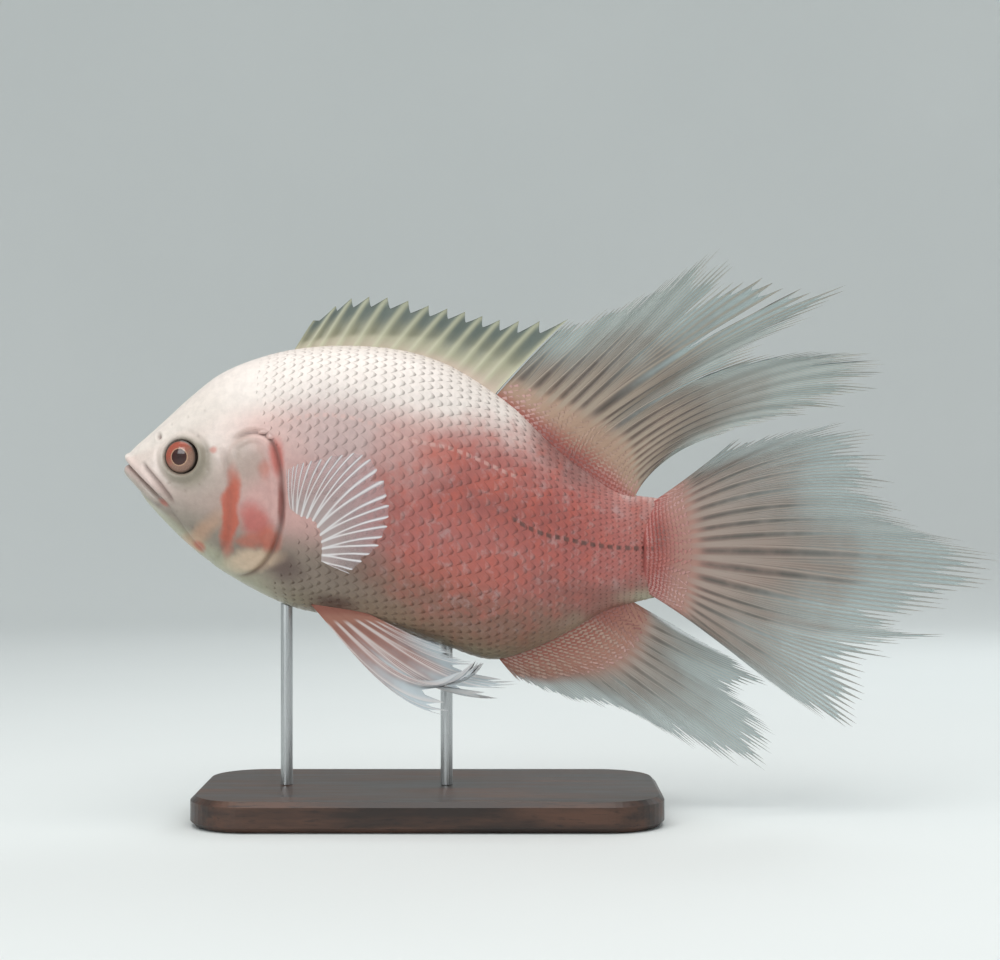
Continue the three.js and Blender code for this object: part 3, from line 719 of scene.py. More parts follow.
ANAL = dict(
    SOFT,
    guides=[
        (0, 150, -74.5, 162, -89.5, 12), (2, 157, -73.5, 186, -98.5, 12),
        (4, 164.5, -71, 210, -104, 8), (6, 172, -68, 237, -119.5, -2),
        (8, 179, -64.5, 265.5, -127.5, -2), (10, 186, -61, 272, -114, 4),
        (12, 192, -57.5, 256, -95, 10), (13, 195, -55.5, 269, -91.5, 14),
        (15, 201, -51.5, 229, -68, 4),
    ],
    sheath=lambda n: 3.4 - 0.08 * n, reach=lambda n: 20 + 22 * np.sin(np.pi * (n + 1) / 17),
    sway=lambda s, t, x, z: 4 * s * t + 11 * s * t * t + 1.6 * np.sin(10 * s + 2 * t) * t,
    web=[0.9, 0.9, 0.88, 0.88, 0.86, 0.84, 0.72] + [0.86] * 8,
)

# %% Paired fins
PECTORAL_SUNK, PECTORAL_LIFT = 2.4, 12
STREAMER_LIFT = 11
PECTORAL = dict(
    guides=[
        (0, 70, -19, 69.5, -1.5, -14), (2, 72.2, -22, 78, 1.8, -18),
        (5, 76.2, -27.5, 102.5, 4, -26), (7, 78.2, -31, 111, -14, -22),
        (9, 79.8, -34.5, 107.5, -30.5, -14), (11, 81, -38.5, 94, -43.5, 6),
    ],
    hook=1, branches=(-0.22, 0.22), steps=3, point=1.2, ridge=0.26, ripple=0.25, ragged=0.03,
    sheath=lambda n: 1.2 + 0 * n, reach=lambda n: 9 + 0 * n,
    sway=lambda s, t, x, z: PECTORAL_SUNK - flank(x, z) - PECTORAL_LIFT * t,
    web=[0.96] * 11,
)
PELVIC = dict(
    branches=SIX_BRANCHES, steps=2, point=1.8, ridge=0.3, ripple=0.3, ragged=0.06,
    sheath=lambda n: 1.6 + 0 * n, reach=lambda n: 14 + 0 * n,
)
PELVIC_LEFT = dict(
    {**PELVIC, "branches": (-0.2, -0.07, 0.07, 0.2)},
    guides=[
        (0, 77, -57, 133, -101.5, 45), (1, 80, -57, 147, -75, 130),
        (2, 83.5, -57.5, 152.5, -94, 50), (3, 87.5, -58, 162, -88, 45),
        (4, 91.5, -58.5, 142, -79.5, 32),
        (6, 99, -60, 131, -73.5, 12),
    ],
    hook=3,
    sway=lambda s, t, x, z: -9 - 8 * t - bell(s - 1 / 6, 0.06) * STREAMER_LIFT * t**3,
    web=[0.74, 0.55, 0.72, 0.72, 0.84, 0.9],
)
PELVIC_RIGHT = dict(
    PELVIC,
    guides=[
        (0, 78, -57, 129, -90, 20), (2, 84, -57.5, 136, -85, 20), (3, 88, -58, 130, -80, 16),
        (5, 95.5, -60, 137, -75.5, 10),
    ],
    hook=2,
    sway=lambda s, t, x, z: 9 + 9 * t,
    web=[0.9, 0.8, 0.7, 0.85, 0.8],
)

fins = {}
for name, fin, slot, node, rows, mirror in (
    ("spiny_dorsal_rays", SPINY_DORSAL, "fin", "dorsal_fin_spiny", 34, False),
    ("soft_dorsal_rays", SOFT_DORSAL, "fin", "dorsal_fin_soft", 64, False),
    ("tail_rays", TAIL, "fin", "tail_fin", 64, False),
    ("anal_rays", ANAL, "fin", "anal_fin", 56, False),
    ("left_pectoral_rays", PECTORAL, "pale_fin", "pectoral_fin_left", 40, False),
    ("right_pectoral_rays", PECTORAL, "pale_fin", "pectoral_fin_right", 40, True),
    ("left_pelvic_rays", PELVIC_LEFT, "pale_fin", "pelvic_fin_left", 60, False),
    ("right_pelvic_rays", PELVIC_RIGHT, "pale_fin", "pelvic_fin_right", 60, False),
):
    fins[name] = fin_piece(name, fin, (node,), rows, mirror)

# %% [markdown]
# ## Scales on the feet of the fins
# In an oscar the scales run out over the fleshy foot of the soft dorsal, the anal and the tail
# fin. They are the same plates, bent onto the fin's own formula, on both of its faces. On one
# of the two faces the plates come out with their outer side turned inwards.

# %% Scales of the fin feet
FOOT_SCALE_LENGTH, FOOT_SCALE_HALF_WIDTH = 2.6, 1.2
FOOT_SCALE_LEVEL = 0.1
FOOT_ROWS, FOOT_ROW_STEP = 22, 1.75
FOOT_SCALES_END = 0.64
WIDEST_IN_RAYS = 0.34


def fin_foot(fin, side):
    """The surface of one face of a fin's foot, as a shape of share of the ray and ray number."""

    def face(number, t):
        middle, length = fin_point(fin, number, t)
        sheath = sheath_half(fin, number, t, length)
        half = np.maximum(sheath - SHEATH_OVERLAP, 0) + MEMBRANE_ROOT_HALF + FOOT_SCALE_LEVEL
        return middle + [0, side, 0] * half[..., None]

    def surface(t, number):
        normal = facing(face, number, t, 0.02, 0.004)
        normal *= np.sign(normal[..., 1:2] * side)
        return face(number, t), normal

    return surface


def foot_scale_roots(fin):
    """Share and ray number of each scale's root, row after row along the foot, with the scale's
    length and half width as steps in the two."""
    rows = []
    for row in range(FOOT_ROWS):
        ray = np.arange(0.3, fin["guides"][-1][0] - 0.2, 0.5) + 0.25 * (row % 2)
        _, length = fin_point(fin, ray, 0 * ray)
        share = row * FOOT_ROW_STEP / length
        beside = fin_point(fin, ray + 0.1, share)[0] - fin_point(fin, ray, share)[0]
        gap = np.linalg.norm(beside, axis=-1) * 10
        kept = share * length < FOOT_SCALES_END * fin["reach"](ray)
        wide = np.minimum(FOOT_SCALE_HALF_WIDTH / gap, WIDEST_IN_RAYS)
        rows.append(np.stack([share, ray, FOOT_SCALE_LENGTH / length, wide])[:, kept])
    return np.concatenate(rows, 1)


for place, (word, fin) in enumerate((
    ("soft_dorsal", SOFT_DORSAL), ("tail", TAIL), ("anal", ANAL)
)):
    share, number, long, wide = foot_scale_roots(fin)
    at, sizes = np.stack([share, number], 1), np.stack([long, wide], 1)
    nearness = 1 - share * fin_point(fin, number, 0 * share)[1] / fin["reach"](number)
    lift = 0.05 + 0.1 * np.clip(nearness, 0, 1)
    foot_parts = []
    for side in (-1, 1):
        strip = place * 2 + (side > 0) + number / (fin["guides"][-1][0] + 1)
        unwrap = np.stack([strip / 6.2 + 0.005, 0.02 + share * 1.6], 1)
        points, faces, places, edge = plates(fin_foot(fin, side), at, sizes, lift, unwrap)
        offset = sum(part[0].shape[0] * part[0].shape[1] for part in foot_parts)
        foot_parts.append((points, faces + offset, places))
    points, faces, places = (np.concatenate(group) for group in zip(*foot_parts))
    tint = rng.uniform(0.35, 0.65, len(points))
    foot_values = {"rise": np.full(len(points), -0.2), "tint": tint}
    made = (points, faces, places, edge)
    coat_piece(f"{word}_foot_scales", made, (), foot_values)
    print(len(points), "scales on the foot of the", word, "fin")

# %% [markdown]
# ## Eyes
# A fish's eye is a ball with no lids. The clear front is domed, the iris is a coloured ring, and
# the pupil is open to the deep red that an eye without dark pigment shows. Each is a profile
# turned round the line of sight, which leans a little forwards with the side of the head.

# %% The eyes
EYE_SUNK = 2.1
EYE_BULGE = 3.1
EYE_LEAN = np.radians(14)
EYE_RINGS, EYE_TURNS = 40, 96
EYE_END, EYE_BACK, EYE_DEPTH = 1.35, 0.35, 4.5
EYE_FIT, EYE_FLATNESS = 1.04, 0.86


def eye_surface(side):
    """A profile turned round an axis: the radius runs from the centre to the rim, and the height
    is bulge times the root of 1 - flatness (radius / rim) squared. Behind the rim the profile
    goes straight back."""
    out = np.linspace(0, EYE_END, EYE_RINGS)[:, None]
    turn = np.linspace(0, 2 * np.pi, EYE_TURNS, endpoint=False)[None]
    radius = EYE_RADIUS * EYE_FIT * np.where(out < 1, out, 1) * (1 + 0 * turn)
    dome = EYE_BULGE * np.sqrt(np.clip(1 - EYE_FLATNESS * np.minimum(out, 1) ** 2, 0, 1))
    dome = dome - EYE_DEPTH * np.clip(out - 1, 0, 1) / EYE_BACK
    centre = np.array([EYE_X, side * (flank(np.array(EYE_X), np.array(EYE_Z)) - EYE_SUNK), EYE_Z])
    ahead = np.array([-np.sin(EYE_LEAN), side * np.cos(EYE_LEAN), 0])
    beside = np.array([np.cos(EYE_LEAN), side * np.sin(EYE_LEAN), 0])
    up = np.array([0, 0, 1.0])
    points = centre + ahead * (dome + 0 * turn)[..., None]
    points = points + beside * (radius * np.cos(turn))[..., None]
    points = points + up * (radius * np.sin(turn))[..., None]
    return points, (out * (1 + 0 * turn)).ravel()


for side, word in ((-1, "left"), (1, "right")):
    points, out = eye_surface(side)
    faces = grid_faces(EYE_RINGS, EYE_TURNS, wrap=True)
    if enclosed(points.reshape(-1, 3), faces) < 0:
        faces = faces[:, ::-1]
    behind = points[-1].mean(0)
    last_ring = len(out) - EYE_TURNS + np.arange(EYE_TURNS)
    closing = np.stack([last_ring, np.roll(last_ring, -1), np.full(EYE_TURNS, len(out))], 1)
    if side > 0:
        closing = closing[:, ::-1]
    new_piece(
        f"{word}_eye", np.concatenate([points.reshape(-1, 3), behind[None]]),
        faces.tolist() + closing.tolist(), (f"eye_{word}",), {"out": np.append(out, EYE_END)},
    )

# %% [markdown]
# ## Finishes
# Each finish is a set of shader nodes. Short helpers add a node, link it, or do one step of
# arithmetic in one line. An effect that several materials share, such as the markings, is a node
# group, built once.

# %% Node helpers


def colour(code):
    """A colour written as six hex digits, in the linear light that shaders use."""
    parts = np.array([int(code[i:i + 2], 16) / 255 for i in (0, 2, 4)])
    linear = np.where(parts <= 0.04045, parts / 12.92, ((parts + 0.055) / 1.055) ** 2.4)
    return (*linear.tolist(), 1.0)


def feed(tree, node, inputs):
    """Gives a node's sockets, by name or number, a link, a colour code or a plain value."""
    for key, value in inputs.items():
        if isinstance(value, bpy.types.NodeSocket):
            tree.links.new(value, node.inputs[key])
        else:
            node.inputs[key].default_value = colour(value) if isinstance(value, str) else value


def add(tree, kind, inputs=None, **settings):
    """Adds a node. settings are its own properties, and inputs are fed to its sockets."""
    made = tree.nodes.new(f"ShaderNode{kind}")
    for key, value in settings.items():
        setattr(made, key, value)
    feed(tree, made, inputs or {})
    return made


def lay(tree, share, under, over):
    """Lays one colour over another by a share from 0 to 1."""
    return add(tree, "Mix", {0: share, 6: under, 7: over}, data_type="RGBA").outputs[2]


def reckon(tree, how, *values, clamp=False):
    """One step of arithmetic; clamp holds the result between 0 and 1."""
    return add(tree, "Math", dict(enumerate(values)), operation=how, use_clamp=clamp).outputs[0]


def times(tree, *shares):
    """The product of shares, held between 0 and 1 at each step."""
    product = shares[0]
    for share in shares[1:]:
        product = reckon(tree, "MULTIPLY", product, share, clamp=True)
    return product


def vectors(tree, how, *values):
    """One step of arithmetic on places. A length and a dot product are numbers."""
    outputs = add(tree, "VectorMath", dict(enumerate(values)), operation=how).outputs
    return outputs["Value" if how in ("LENGTH", "DOT_PRODUCT") else "Vector"]


def dimmed(tree, paint, factor):
    """A colour made darker or lighter by a factor."""
    return add(tree, "VectorMath", {0: paint, "Scale": factor}, operation="SCALE").outputs[0]


def between(tree, value, low, high, to_low=0.0, to_high=1.0):
    """Carries a value from one range to another along an S."""
    inputs = {"Value": value, "From Min": low, "From Max": high}
    inputs.update({"To Min": to_low, "To Max": to_high})
    return add(tree, "MapRange", inputs, interpolation_type="SMOOTHSTEP").outputs[0]


def uneven(tree, value, low, high):
    """The middle of a noise's values, from 0.3 to 0.7, carried to a range."""
    return between(tree, value, 0.3, 0.7, low, high)


def stored(tree, name):
    """A value that a piece keeps at its points."""
    return add(tree, "Attribute", attribute_name=name).outputs["Fac"]


def noise(tree, place, scale, detail=3.0, roughness=0.5):
    """Smooth random values from 0 to 1; scale is in waves to one unit of the place."""
    inputs = {"Vector": place, "Scale": scale, "Detail": detail, "Roughness": roughness}
    return add(tree, "TexNoise", inputs).outputs["Fac"]


def bumped(tree, height, strength, distance=0.0003):
    """A normal turned by the slope of a height; distance is in metres."""
    inputs = {"Height": height, "Strength": strength, "Distance": distance}
    return add(tree, "Bump", inputs).outputs[0]


def colours_along(tree, share, stops, blend="LINEAR"):
    """A colour for each share from 0 to 1. A stop is (share, colour code)."""
    ramp = add(tree, "ValToRGB", {0: share})
    ramp.color_ramp.interpolation = blend
    elements = ramp.color_ramp.elements
    for element, (position, code) in zip((elements[0], elements[1]), (stops[0], stops[-1])):
        element.position, element.color = position, colour(code)
    for position, code in stops[1:-1]:
        elements.new(position).color = colour(code)
    return ramp.outputs[0]


def new_group(name, inputs, outputs):
    """An empty node group with named sockets: inputs are (name, kind, value or None) and outputs
    (name, kind)."""
    tree = bpy.data.node_groups.new(name, "ShaderNodeTree")
    for title, kind, value in inputs:
        socket = tree.interface.new_socket(title, in_out="INPUT", socket_type=f"NodeSocket{kind}")
        if value is not None:
            socket.default_value = value
    for title, kind in outputs:
        tree.interface.new_socket(title, in_out="OUTPUT", socket_type=f"NodeSocket{kind}")
    return tree, tree.nodes.new("NodeGroupInput"), tree.nodes.new("NodeGroupOutput")


def place_group(tree, group, inputs):
    """Places a group in a material with its own values."""
    made = tree.nodes.new("ShaderNodeGroup")
    made.node_tree = group
    feed(tree, made, inputs)
    return made.outputs


def new_material(name, **sockets):
    """A material with one Principled shader whose plain values are set on its own sockets."""
    material = bpy.data.materials.new(name)
    material.use_nodes = True
    tree = material.node_tree
    shader = tree.nodes["Principled BSDF"]
    for key, value in sockets.items():
        shader.inputs[key.replace("_", " ").title().replace("Ior", "IOR")].default_value = value
    place = add(tree, "TexCoord").outputs["Object"]
    return material, tree, shader, place


def wear(piece, material):
    """Gives a piece one finish."""
    piece.data.materials.clear()
    piece.data.materials.append(material)
    print(piece.name, "wears", material.name)


# %% [markdown]
# ## The markings
# The fish is ivory on the head and back, rose to brick red on the flank, and brown along the
# belly, with orange flames on the gill cover. Painters of model fish lay such a pattern down as
# soft-edged clouds, one over another, and so does this group: each cloud is an oval in side view
# with its own size, turn, softness and colour, and noise frays its edge. Skin and scales both use
# it, so they carry the same pattern. A few clouds are painted shade, not the fish's colour: the
# greyed cheek, the grey ring round the eye and the umber patch under the gill cover's lower rear
# corner. The pale sage along the lowest edge of the belly is a painted rim of light.

# %% Markings
IVORY, PEARL, CREAM = "eadfd8", "e0d5cc", "dcc0a4"
ROSE, MAUVE, PINK = "c79d97", "b7a5a4", "d6b1a9"
BRICK, EMBER, WINE, FLAME = "ab5c55", "bd5f50", "7c3a35", "bb573f"
BROWN, UMBER, OLIVE, SAGE = "86604f", "57403a", "83766a", "a8a78f"
TAUPE, TAN = "938a7d", "a88b77"

# Each cloud: centre x, z, half size x, z, turn in degrees, softness, strength, fraying, colour
CLOUDS = [
    (20, 14, 30, 26, -35, 0.5, 0.8, 3, PEARL),
    # The cheek's pale brown, greyed and darkened by painted shade
    (34, -14, 14, 18, 20, 0.6, 0.55, 3, TAUPE),
    (93, 12, 24, 16, -8, 0.7, 0.6, 6, MAUVE),
    (150, -26, 50, 40, -14, 0.32, 0.92, 7, BRICK),
    (196, -29, 36, 22, -12, 0.3, 0.85, 5, BRICK),
    (118, 4, 14, 16, -30, 0.6, 0.55, 5, ROSE),
    (182, 4, 17, 8, -42, 0.5, 0.75, 4, WINE),
    (150, -15, 34, 7, -20, 0.8, 0.3, 6, WINE),
    (120, -58, 52, 16, -12, 0.6, 0.7, 6, BROWN),
    (168, -66, 24, 10, 14, 0.6, 0.6, 5, BROWN),
    (192, 13, 30, 9, -38, 0.4, 0.85, 3, TAN),
    (184, -76, 32, 9, 24, 0.5, 0.7, 3, TAN),
    (76, -46, 26, 11, -20, 0.6, 0.75, 4, OLIVE),
    # Painted shadow under the lower rear corner of the gill cover
    (65, -40, 9, 5, -30, 0.7, 0.75, 2, UMBER),
    (87, -57, 8, 3.5, -10, 0.6, 0.75, 2, UMBER),
    (200, -60, 34, 7, -24, 0.6, 0.85, 3, "93564d"),
    (220, -29, 3.2, 6, 0, 0.7, 0.5, 2, UMBER),
    (132, 4, 9, 5, -8, 0.5, 0.5, 4, EMBER),
    (152, -8, 9, 3.5, -10, 0.5, 0.5, 4, EMBER),
    (140, -42, 22, 8, -6, 0.8, 0.45, 8, EMBER),
    # Painted shade: a grey ring round the eye's socket
    (27, 1.2, 10.3, 10.5, 0, 0.3, 0.9, 1, "8e8474"),
    (52, 1, 8, 9, 0, 0.6, 0.55, 3, TAUPE),
    (31, -29, 14, 3.4, 42, 0.7, 0.5, 3, "c99878"),
    (54, -39, 11, 4.5, 12, 0.5, 0.7, 2, CREAM),
    (45.3, -19, 3.6, 16.5, -6, 0.35, 0.9, 3, FLAME),
    (56, -22, 5.5, 7, 20, 0.5, 0.75, 4, "b9524a"),
    (61, -30, 4, 5, 0, 0.5, 0.7, 3, FLAME),
    (53, -31, 5, 3, 10, 0.5, 0.6, 3, FLAME),
    (64.5, 3.5, 2.8, 7, 8, 0.5, 0.75, 2, "bb5b50"),
    (66.2, -16, 1.3, 8, 0, 0.5, 0.7, 1, "8b3f36"),
    (59, -2, 3, 4, 0, 0.6, 0.4, 3, FLAME),
    (38.4, 6.2, 1.6, 1.2, 20, 0.6, 0.6, 1, FLAME),
    (31, -33, 2.6, 1.6, -40, 0.6, 0.7, 1.5, FLAME),
    (17, -15.5, 2.2, 1, -40, 0.6, 0.6, 1, FLAME),
]
UPPER_LATERAL_LINE = [
    (66, 17), (84, 20), (104, 16), (117, 10.3), (135, 6.2), (156, -2.9), (163, -6),
]
LOWER_LATERAL_LINE = [(158, -21), (170.6, -27.7), (178.8, -29.7), (195, -33), (218, -34.3)]
LATERAL_PITCH = 3.6
CURVE_LOW, CURVE_HIGH = -60.0, 40.0
# From the belly's edge to the back; the pale sage at the very edge is a painted rim of light
BELLY_TO_BACK = [
    (0.0, SAGE), (0.07, OLIVE), (0.3, ROSE), (0.55, ROSE), (0.78, PINK), (0.93, IVORY),
]


def cloud_share(tree, frayed, centre_x, centre_z, half_x, half_z, turn, softness, strength):
    """1 inside a turned oval, 0 outside, with an S between. The place is carried to where the
    oval is the unit circle, and its distance from the centre decides."""
    mapping = add(tree, "Mapping", {
        "Vector": frayed,
        "Location": (centre_x, 0, centre_z),
        "Rotation": (0, np.radians(-turn), 0),
        "Scale": (half_x, 1, half_z),
    }, vector_type="TEXTURE").outputs[0]
    distance = vectors(tree, "LENGTH", mapping)
    return between(tree, distance, 1 - softness, 1 + softness, strength, 0.0)


def lateral_share(tree, x, z, knots, half):
    """1 on dashes along a line in side view: near in height to the line's curve, and in the
    first part of each pitch."""
    begin, end = knots[0][0], knots[-1][0]
    along = add(tree, "MapRange", {"Value": x, "From Min": begin, "From Max": end}).outputs[0]
    curve = add(tree, "FloatCurve", {"Value": along})
    span = CURVE_HIGH - CURVE_LOW
    places = [((at - begin) / (end - begin), (level - CURVE_LOW) / span) for at, level in knots]
    points = curve.mapping.curves[0].points
    points[0].location, points[1].location = places[0], places[-1]
    for at in places[1:-1]:
        points.new(*at)
    curve.mapping.update()
    line = reckon(tree, "MULTIPLY_ADD", curve.outputs[0], span, CURVE_LOW)
    gap = reckon(tree, "ABSOLUTE", reckon(tree, "SUBTRACT", z, line))
    near = between(tree, gap, half * 0.5, half * 1.5, 1.0, 0.0)
    phase = reckon(tree, "FLOORED_MODULO", x, LATERAL_PITCH)
    dash = between(tree, phase, LATERAL_PITCH * 0.45, LATERAL_PITCH * 0.75, 1.0, 0.0)
    within = between(tree, x, begin, begin + 2)
    beyond = between(tree, x, end - 2, end, 1.0, 0.0)
    return times(tree, near, dash, times(tree, within, beyond))


def build_markings():
    """The pattern, with its painted shade and painted rim of light, as a group: place, rise (-1 at
    the belly, 1 at the back) and tint in, colour out. red is where the brick clouds lie, and only
    there the blotches and tints show."""
    sockets = [("Place", "Vector", None), ("Rise", "Float", 0.0), ("Tint", "Float", 0.5)]
    tree, source, result = new_group("markings", sockets, [("Colour", "Color")])
    given = source.outputs
    snout = (SNOUT_TO_STAND_CENTRE, 0, -SNOUT_HEIGHT)
    fish = vectors(tree, "MULTIPLY_ADD", given["Place"], (1000, 1000, 1000), snout)
    split = add(tree, "SeparateXYZ", {0: fish}).outputs
    x, z = split["X"], split["Z"]
    side_view = add(tree, "CombineXYZ", {"X": x, "Z": z}).outputs[0]
    fray = add(tree, "TexNoise", {"Vector": fish, "Scale": 0.11, "Detail": 4.0})
    fray = vectors(tree, "SUBTRACT", fray.outputs["Color"], (0.5, 0.5, 0.5))

    paint = colours_along(tree, between(tree, given["Rise"], -1.0, 1.0), BELLY_TO_BACK, "EASE")
    red = 0.0
    for *oval_numbers, fraying, code in CLOUDS:
        reach = (2 * fraying, 0, 2 * fraying)
        frayed = vectors(tree, "MULTIPLY_ADD", fray, reach, side_view)
        share = cloud_share(tree, frayed, *oval_numbers)
        paint = lay(tree, share, paint, code)
        if code == BRICK:
            red = reckon(tree, "MAXIMUM", red, share, clamp=True)

    for share, strength, code in (
        (between(tree, noise(tree, fish, 0.16, 3.0, 0.6), 0.45, 0.7, 0.0, 0.6), red, EMBER),
        (between(tree, noise(tree, fish, 0.24, 3.0, 0.6), 0.5, 0.75, 0.0, 0.45), red, MAUVE),
        (between(tree, given["Tint"], 0.62, 0.95, 0.0, 0.16), red, PINK),
        (between(tree, given["Tint"], 0.0, 0.3, 0.2, 0.0), red, WINE),
        (lateral_share(tree, x, z, UPPER_LATERAL_LINE, 0.8), 0.5, PINK),
        (lateral_share(tree, x, z, LOWER_LATERAL_LINE, 0.9), 0.8, UMBER),
    ):
        paint = lay(tree, times(tree, share, strength), paint, code)
    clouding = uneven(tree, noise(tree, fish, 0.35, 4.0, 0.6), 0.94, 1.05)
    feed(tree, result, {"Colour": dimmed(tree, paint, clouding)})
    return tree


markings = build_markings()
print("markings:", len(markings.nodes), "nodes")

# %% [markdown]
# ## Skin and scale finishes
# Fish skin is wet: under a clear film of slime it is soft and a little grainy. So the coat weight
# gives the film, and a fine bump under it the grain. The folds are darker, because light seldom
# reaches into them. The small sunk scales of the head show only as a faint net in the bump.

# %% Skin
material, tree, shader, place = new_material(
    "wet_skin", roughness=0.42, coat_weight=0.3, coat_roughness=0.18, specular_ior_level=0.45,
)
pattern = place_group(tree, markings, {"Place": place, "Rise": stored(tree, "rise")})
folds = times(tree, stored(tree, "fold"), 0.72)
net = add(tree, "TexVoronoi", {"Vector": place, "Scale": 420.0}, feature="DISTANCE_TO_EDGE")
net = between(tree, net.outputs["Distance"], 0.0, 0.12)
grain = noise(tree, place, 900.0, 3.0, 0.6)
feed(tree, shader, {
    "Base Color": lay(tree, folds, pattern["Colour"], "5a3a33"),
    "Normal": bumped(tree, reckon(tree, "MULTIPLY_ADD", net, 0.35, grain), 0.16, 0.0004),
    "Roughness": uneven(tree, noise(tree, place, 160.0), 0.36, 0.5),
})
wear(skin, material)

# %% Scales
material, tree, shader, place = new_material(
    "scales", roughness=0.36, coat_weight=0.35, coat_roughness=0.15, specular_ior_level=0.5,
)
given = {"Place": place, "Rise": stored(tree, "rise"), "Tint": stored(tree, "tint")}
pattern = place_group(tree, markings, given)
rear_edge = between(tree, stored(tree, "edge"), 0.5, 0.95, 0.0, 0.16)
rings_of_growth = noise(tree, place, 2600.0, 2.0)
feed(tree, shader, {
    "Base Color": lay(tree, rear_edge, pattern["Colour"], "6a4a44"),
    "Normal": bumped(tree, rings_of_growth, 0.12),
    "Roughness": uneven(tree, noise(tree, place, 240.0), 0.3, 0.46),
})
for piece in bpy.data.objects:
    if "scales" in piece.name:
        wear(piece, material)

# %% [markdown]
# ## Fin finishes
# A fin goes from flesh at its foot, through brown with painted lines of shade between the rays,
# to a clear blue-grey at the edge. The rays stay paler than the membrane. The foot, the ray and
# the way out are kept at the points, so the colours follow every branch. The fin lets light
# through by the shader's alpha, more towards its edge and least on the rays.

# %% Fin colours
# Line is the colour of the shade painted between the rays, and Line strength how much of it
FIN_COLOURS = ("Root", "Flesh", "Middle", "Edge", "Line", "Ray colour")
FIN_SHARES = ("Line strength", "Clearness", "Foot ends", "Ray from", "Clear from")
RAY_TOP = 0.95


def build_fin_colours():
    """Root, foot, middle and edge colours by the way out, with lines of painted shade in the
    membrane between the rays where the fin is neither foot nor edge."""
    sockets = [("Place", "Vector", None)] + [(title, "Color", None) for title in FIN_COLOURS]
    sockets += [(title, "Float", None) for title in FIN_SHARES]
    outputs = [("Colour", "Color"), ("Alpha", "Float"), ("Relief", "Float")]
    tree, source, result = new_group("fin_colours", sockets, outputs)
    given = source.outputs
    out, ray, flesh, dark = (stored(tree, name) for name in ("out", "ray", "flesh", "line"))
    wander = reckon(tree, "SUBTRACT", noise(tree, given["Place"], 45.0, 4.0), 0.5)
    shift = reckon(tree, "MULTIPLY_ADD", wander, 0.5, out)
    paint = lay(tree, between(tree, shift, 0.05, 0.5), given["Flesh"], given["Middle"])
    paint = lay(tree, between(tree, shift, 0.35, 0.92), paint, given["Edge"])
    on_ray = times(tree, between(tree, ray, given["Ray from"], RAY_TOP), 0.7)
    paint = lay(tree, on_ray, paint, given["Ray colour"])

    # Painted shade between the rays, left off the foot and faded towards the clear edge
    begins = between(tree, flesh, 0.0, 0.2, 1.0, 0.0)
    fades = between(tree, shift, 0.4, 0.9, 1.0, 0.1)
    patchy = between(tree, noise(tree, given["Place"], 110.0), 0.25, 0.6, 0.6, 1.0)
    line = times(tree, dark, begins, fades, patchy, given["Line strength"])
    paint = lay(tree, line, paint, given["Line"])

    full = reckon(tree, "ADD", given["Foot ends"], 0.4, clamp=True)
    frayed = reckon(tree, "MULTIPLY_ADD", wander, 0.3, flesh)
    foot = between(tree, frayed, given["Foot ends"], full)
    ground = lay(tree, between(tree, flesh, 0.45, 0.95), given["Flesh"], given["Root"])
    outer = between(tree, out, given["Clear from"], 1.0)
    bare = between(tree, ray, given["Ray from"], RAY_TOP, 1.0, 0.35)
    clear = times(tree, outer, bare, given["Clearness"])
    feed(tree, result, {
        "Colour": lay(tree, foot, paint, ground),
        "Alpha": reckon(tree, "SUBTRACT", 1.0, clear, clamp=True),
        "Relief": noise(tree, given["Place"], 1500.0, 2.0),
    })
    return tree


fin_colours = build_fin_colours()
# Each finish: the colours in the order of FIN_COLOURS, then the shares in that of FIN_SHARES
CLEAR_FINISH = (
    "cfc3c1", "cdbcb9", "c9b7b6", "c4b9be", "a58f90", "f4f4f5", 0.1, 0.88, 0.75, 0.4, -0.5,
)
BLADE_FINISH = (
    "8f5546", "a06c5b", "a9786c", "ccd6dc", "7a4f46", "e2dcda", 0.55, 0.25, 0.0, 0.4, 0.3,
)
FIN_FINISHES = {
    "spiny_dorsal_rays": (
        "cdb9a9", "bdae9c", "a9a58d", "66706a", "6e6d56", "bebda2", 0.65, 0.15, 0.55, 0.25, 0.3,
    ),
    "soft_dorsal_rays": (
        "9a5149", "ab8d79", "8c7f76", "a3b2b1", "453d37", "a79a8a", 0.85, 0.45, 0.02, 0.25, 0.3,
    ),
    "tail_rays": (
        "a2504a", "b18478", "9a897f", "a9b9b9", "3f4542", "a99c92", 0.8, 0.5, 0.0, 0.25, 0.3,
    ),
    "anal_rays": (
        "99584b", "a87868", "97897f", "b1c1c1", "4b4844", "b3aaa2", 0.75, 0.5, 0.02, 0.25, 0.3,
    ),
    "left_pectoral_rays": CLEAR_FINISH,
    "right_pectoral_rays": CLEAR_FINISH,
    "left_pelvic_rays": BLADE_FINISH,
    "right_pelvic_rays": BLADE_FINISH,
}
for name, finish in FIN_FINISHES.items():
    material, tree, shader, place = new_material(
        f"{name}_finish", roughness=0.45, coat_weight=0.2, coat_roughness=0.25,
        specular_ior_level=0.4,
    )
    given = {"Place": place, **dict(zip(FIN_COLOURS + FIN_SHARES, finish))}
    made = place_group(tree, fin_colours, given)
    feed(tree, shader, {
        "Base Color": made["Colour"],
        "Alpha": made["Alpha"],
        "Normal": bumped(tree, made["Relief"], 0.1),
    })
    wear(fins[name], material)

# %% [markdown]
# ## Eye finish
# The pupil is deep red with a pale ring round it. The iris is salmon towards the brow and
# grey-brown below, with fine spokes, and a dark line closes its rim. One clear, sharp coat over
# all of it is the wet cornea.

# %% Eyes
IRIS_RINGS = [
    (0.0, "240604"), (0.5, "390e07"), (0.54, "c9a184"), (0.6, "8d7a69"), (0.85, "837565"),
    (0.95, "5d4d42"), (1.0, "30241f"),
]
BROW_DIRECTION = (-0.6, 0, 0.8)

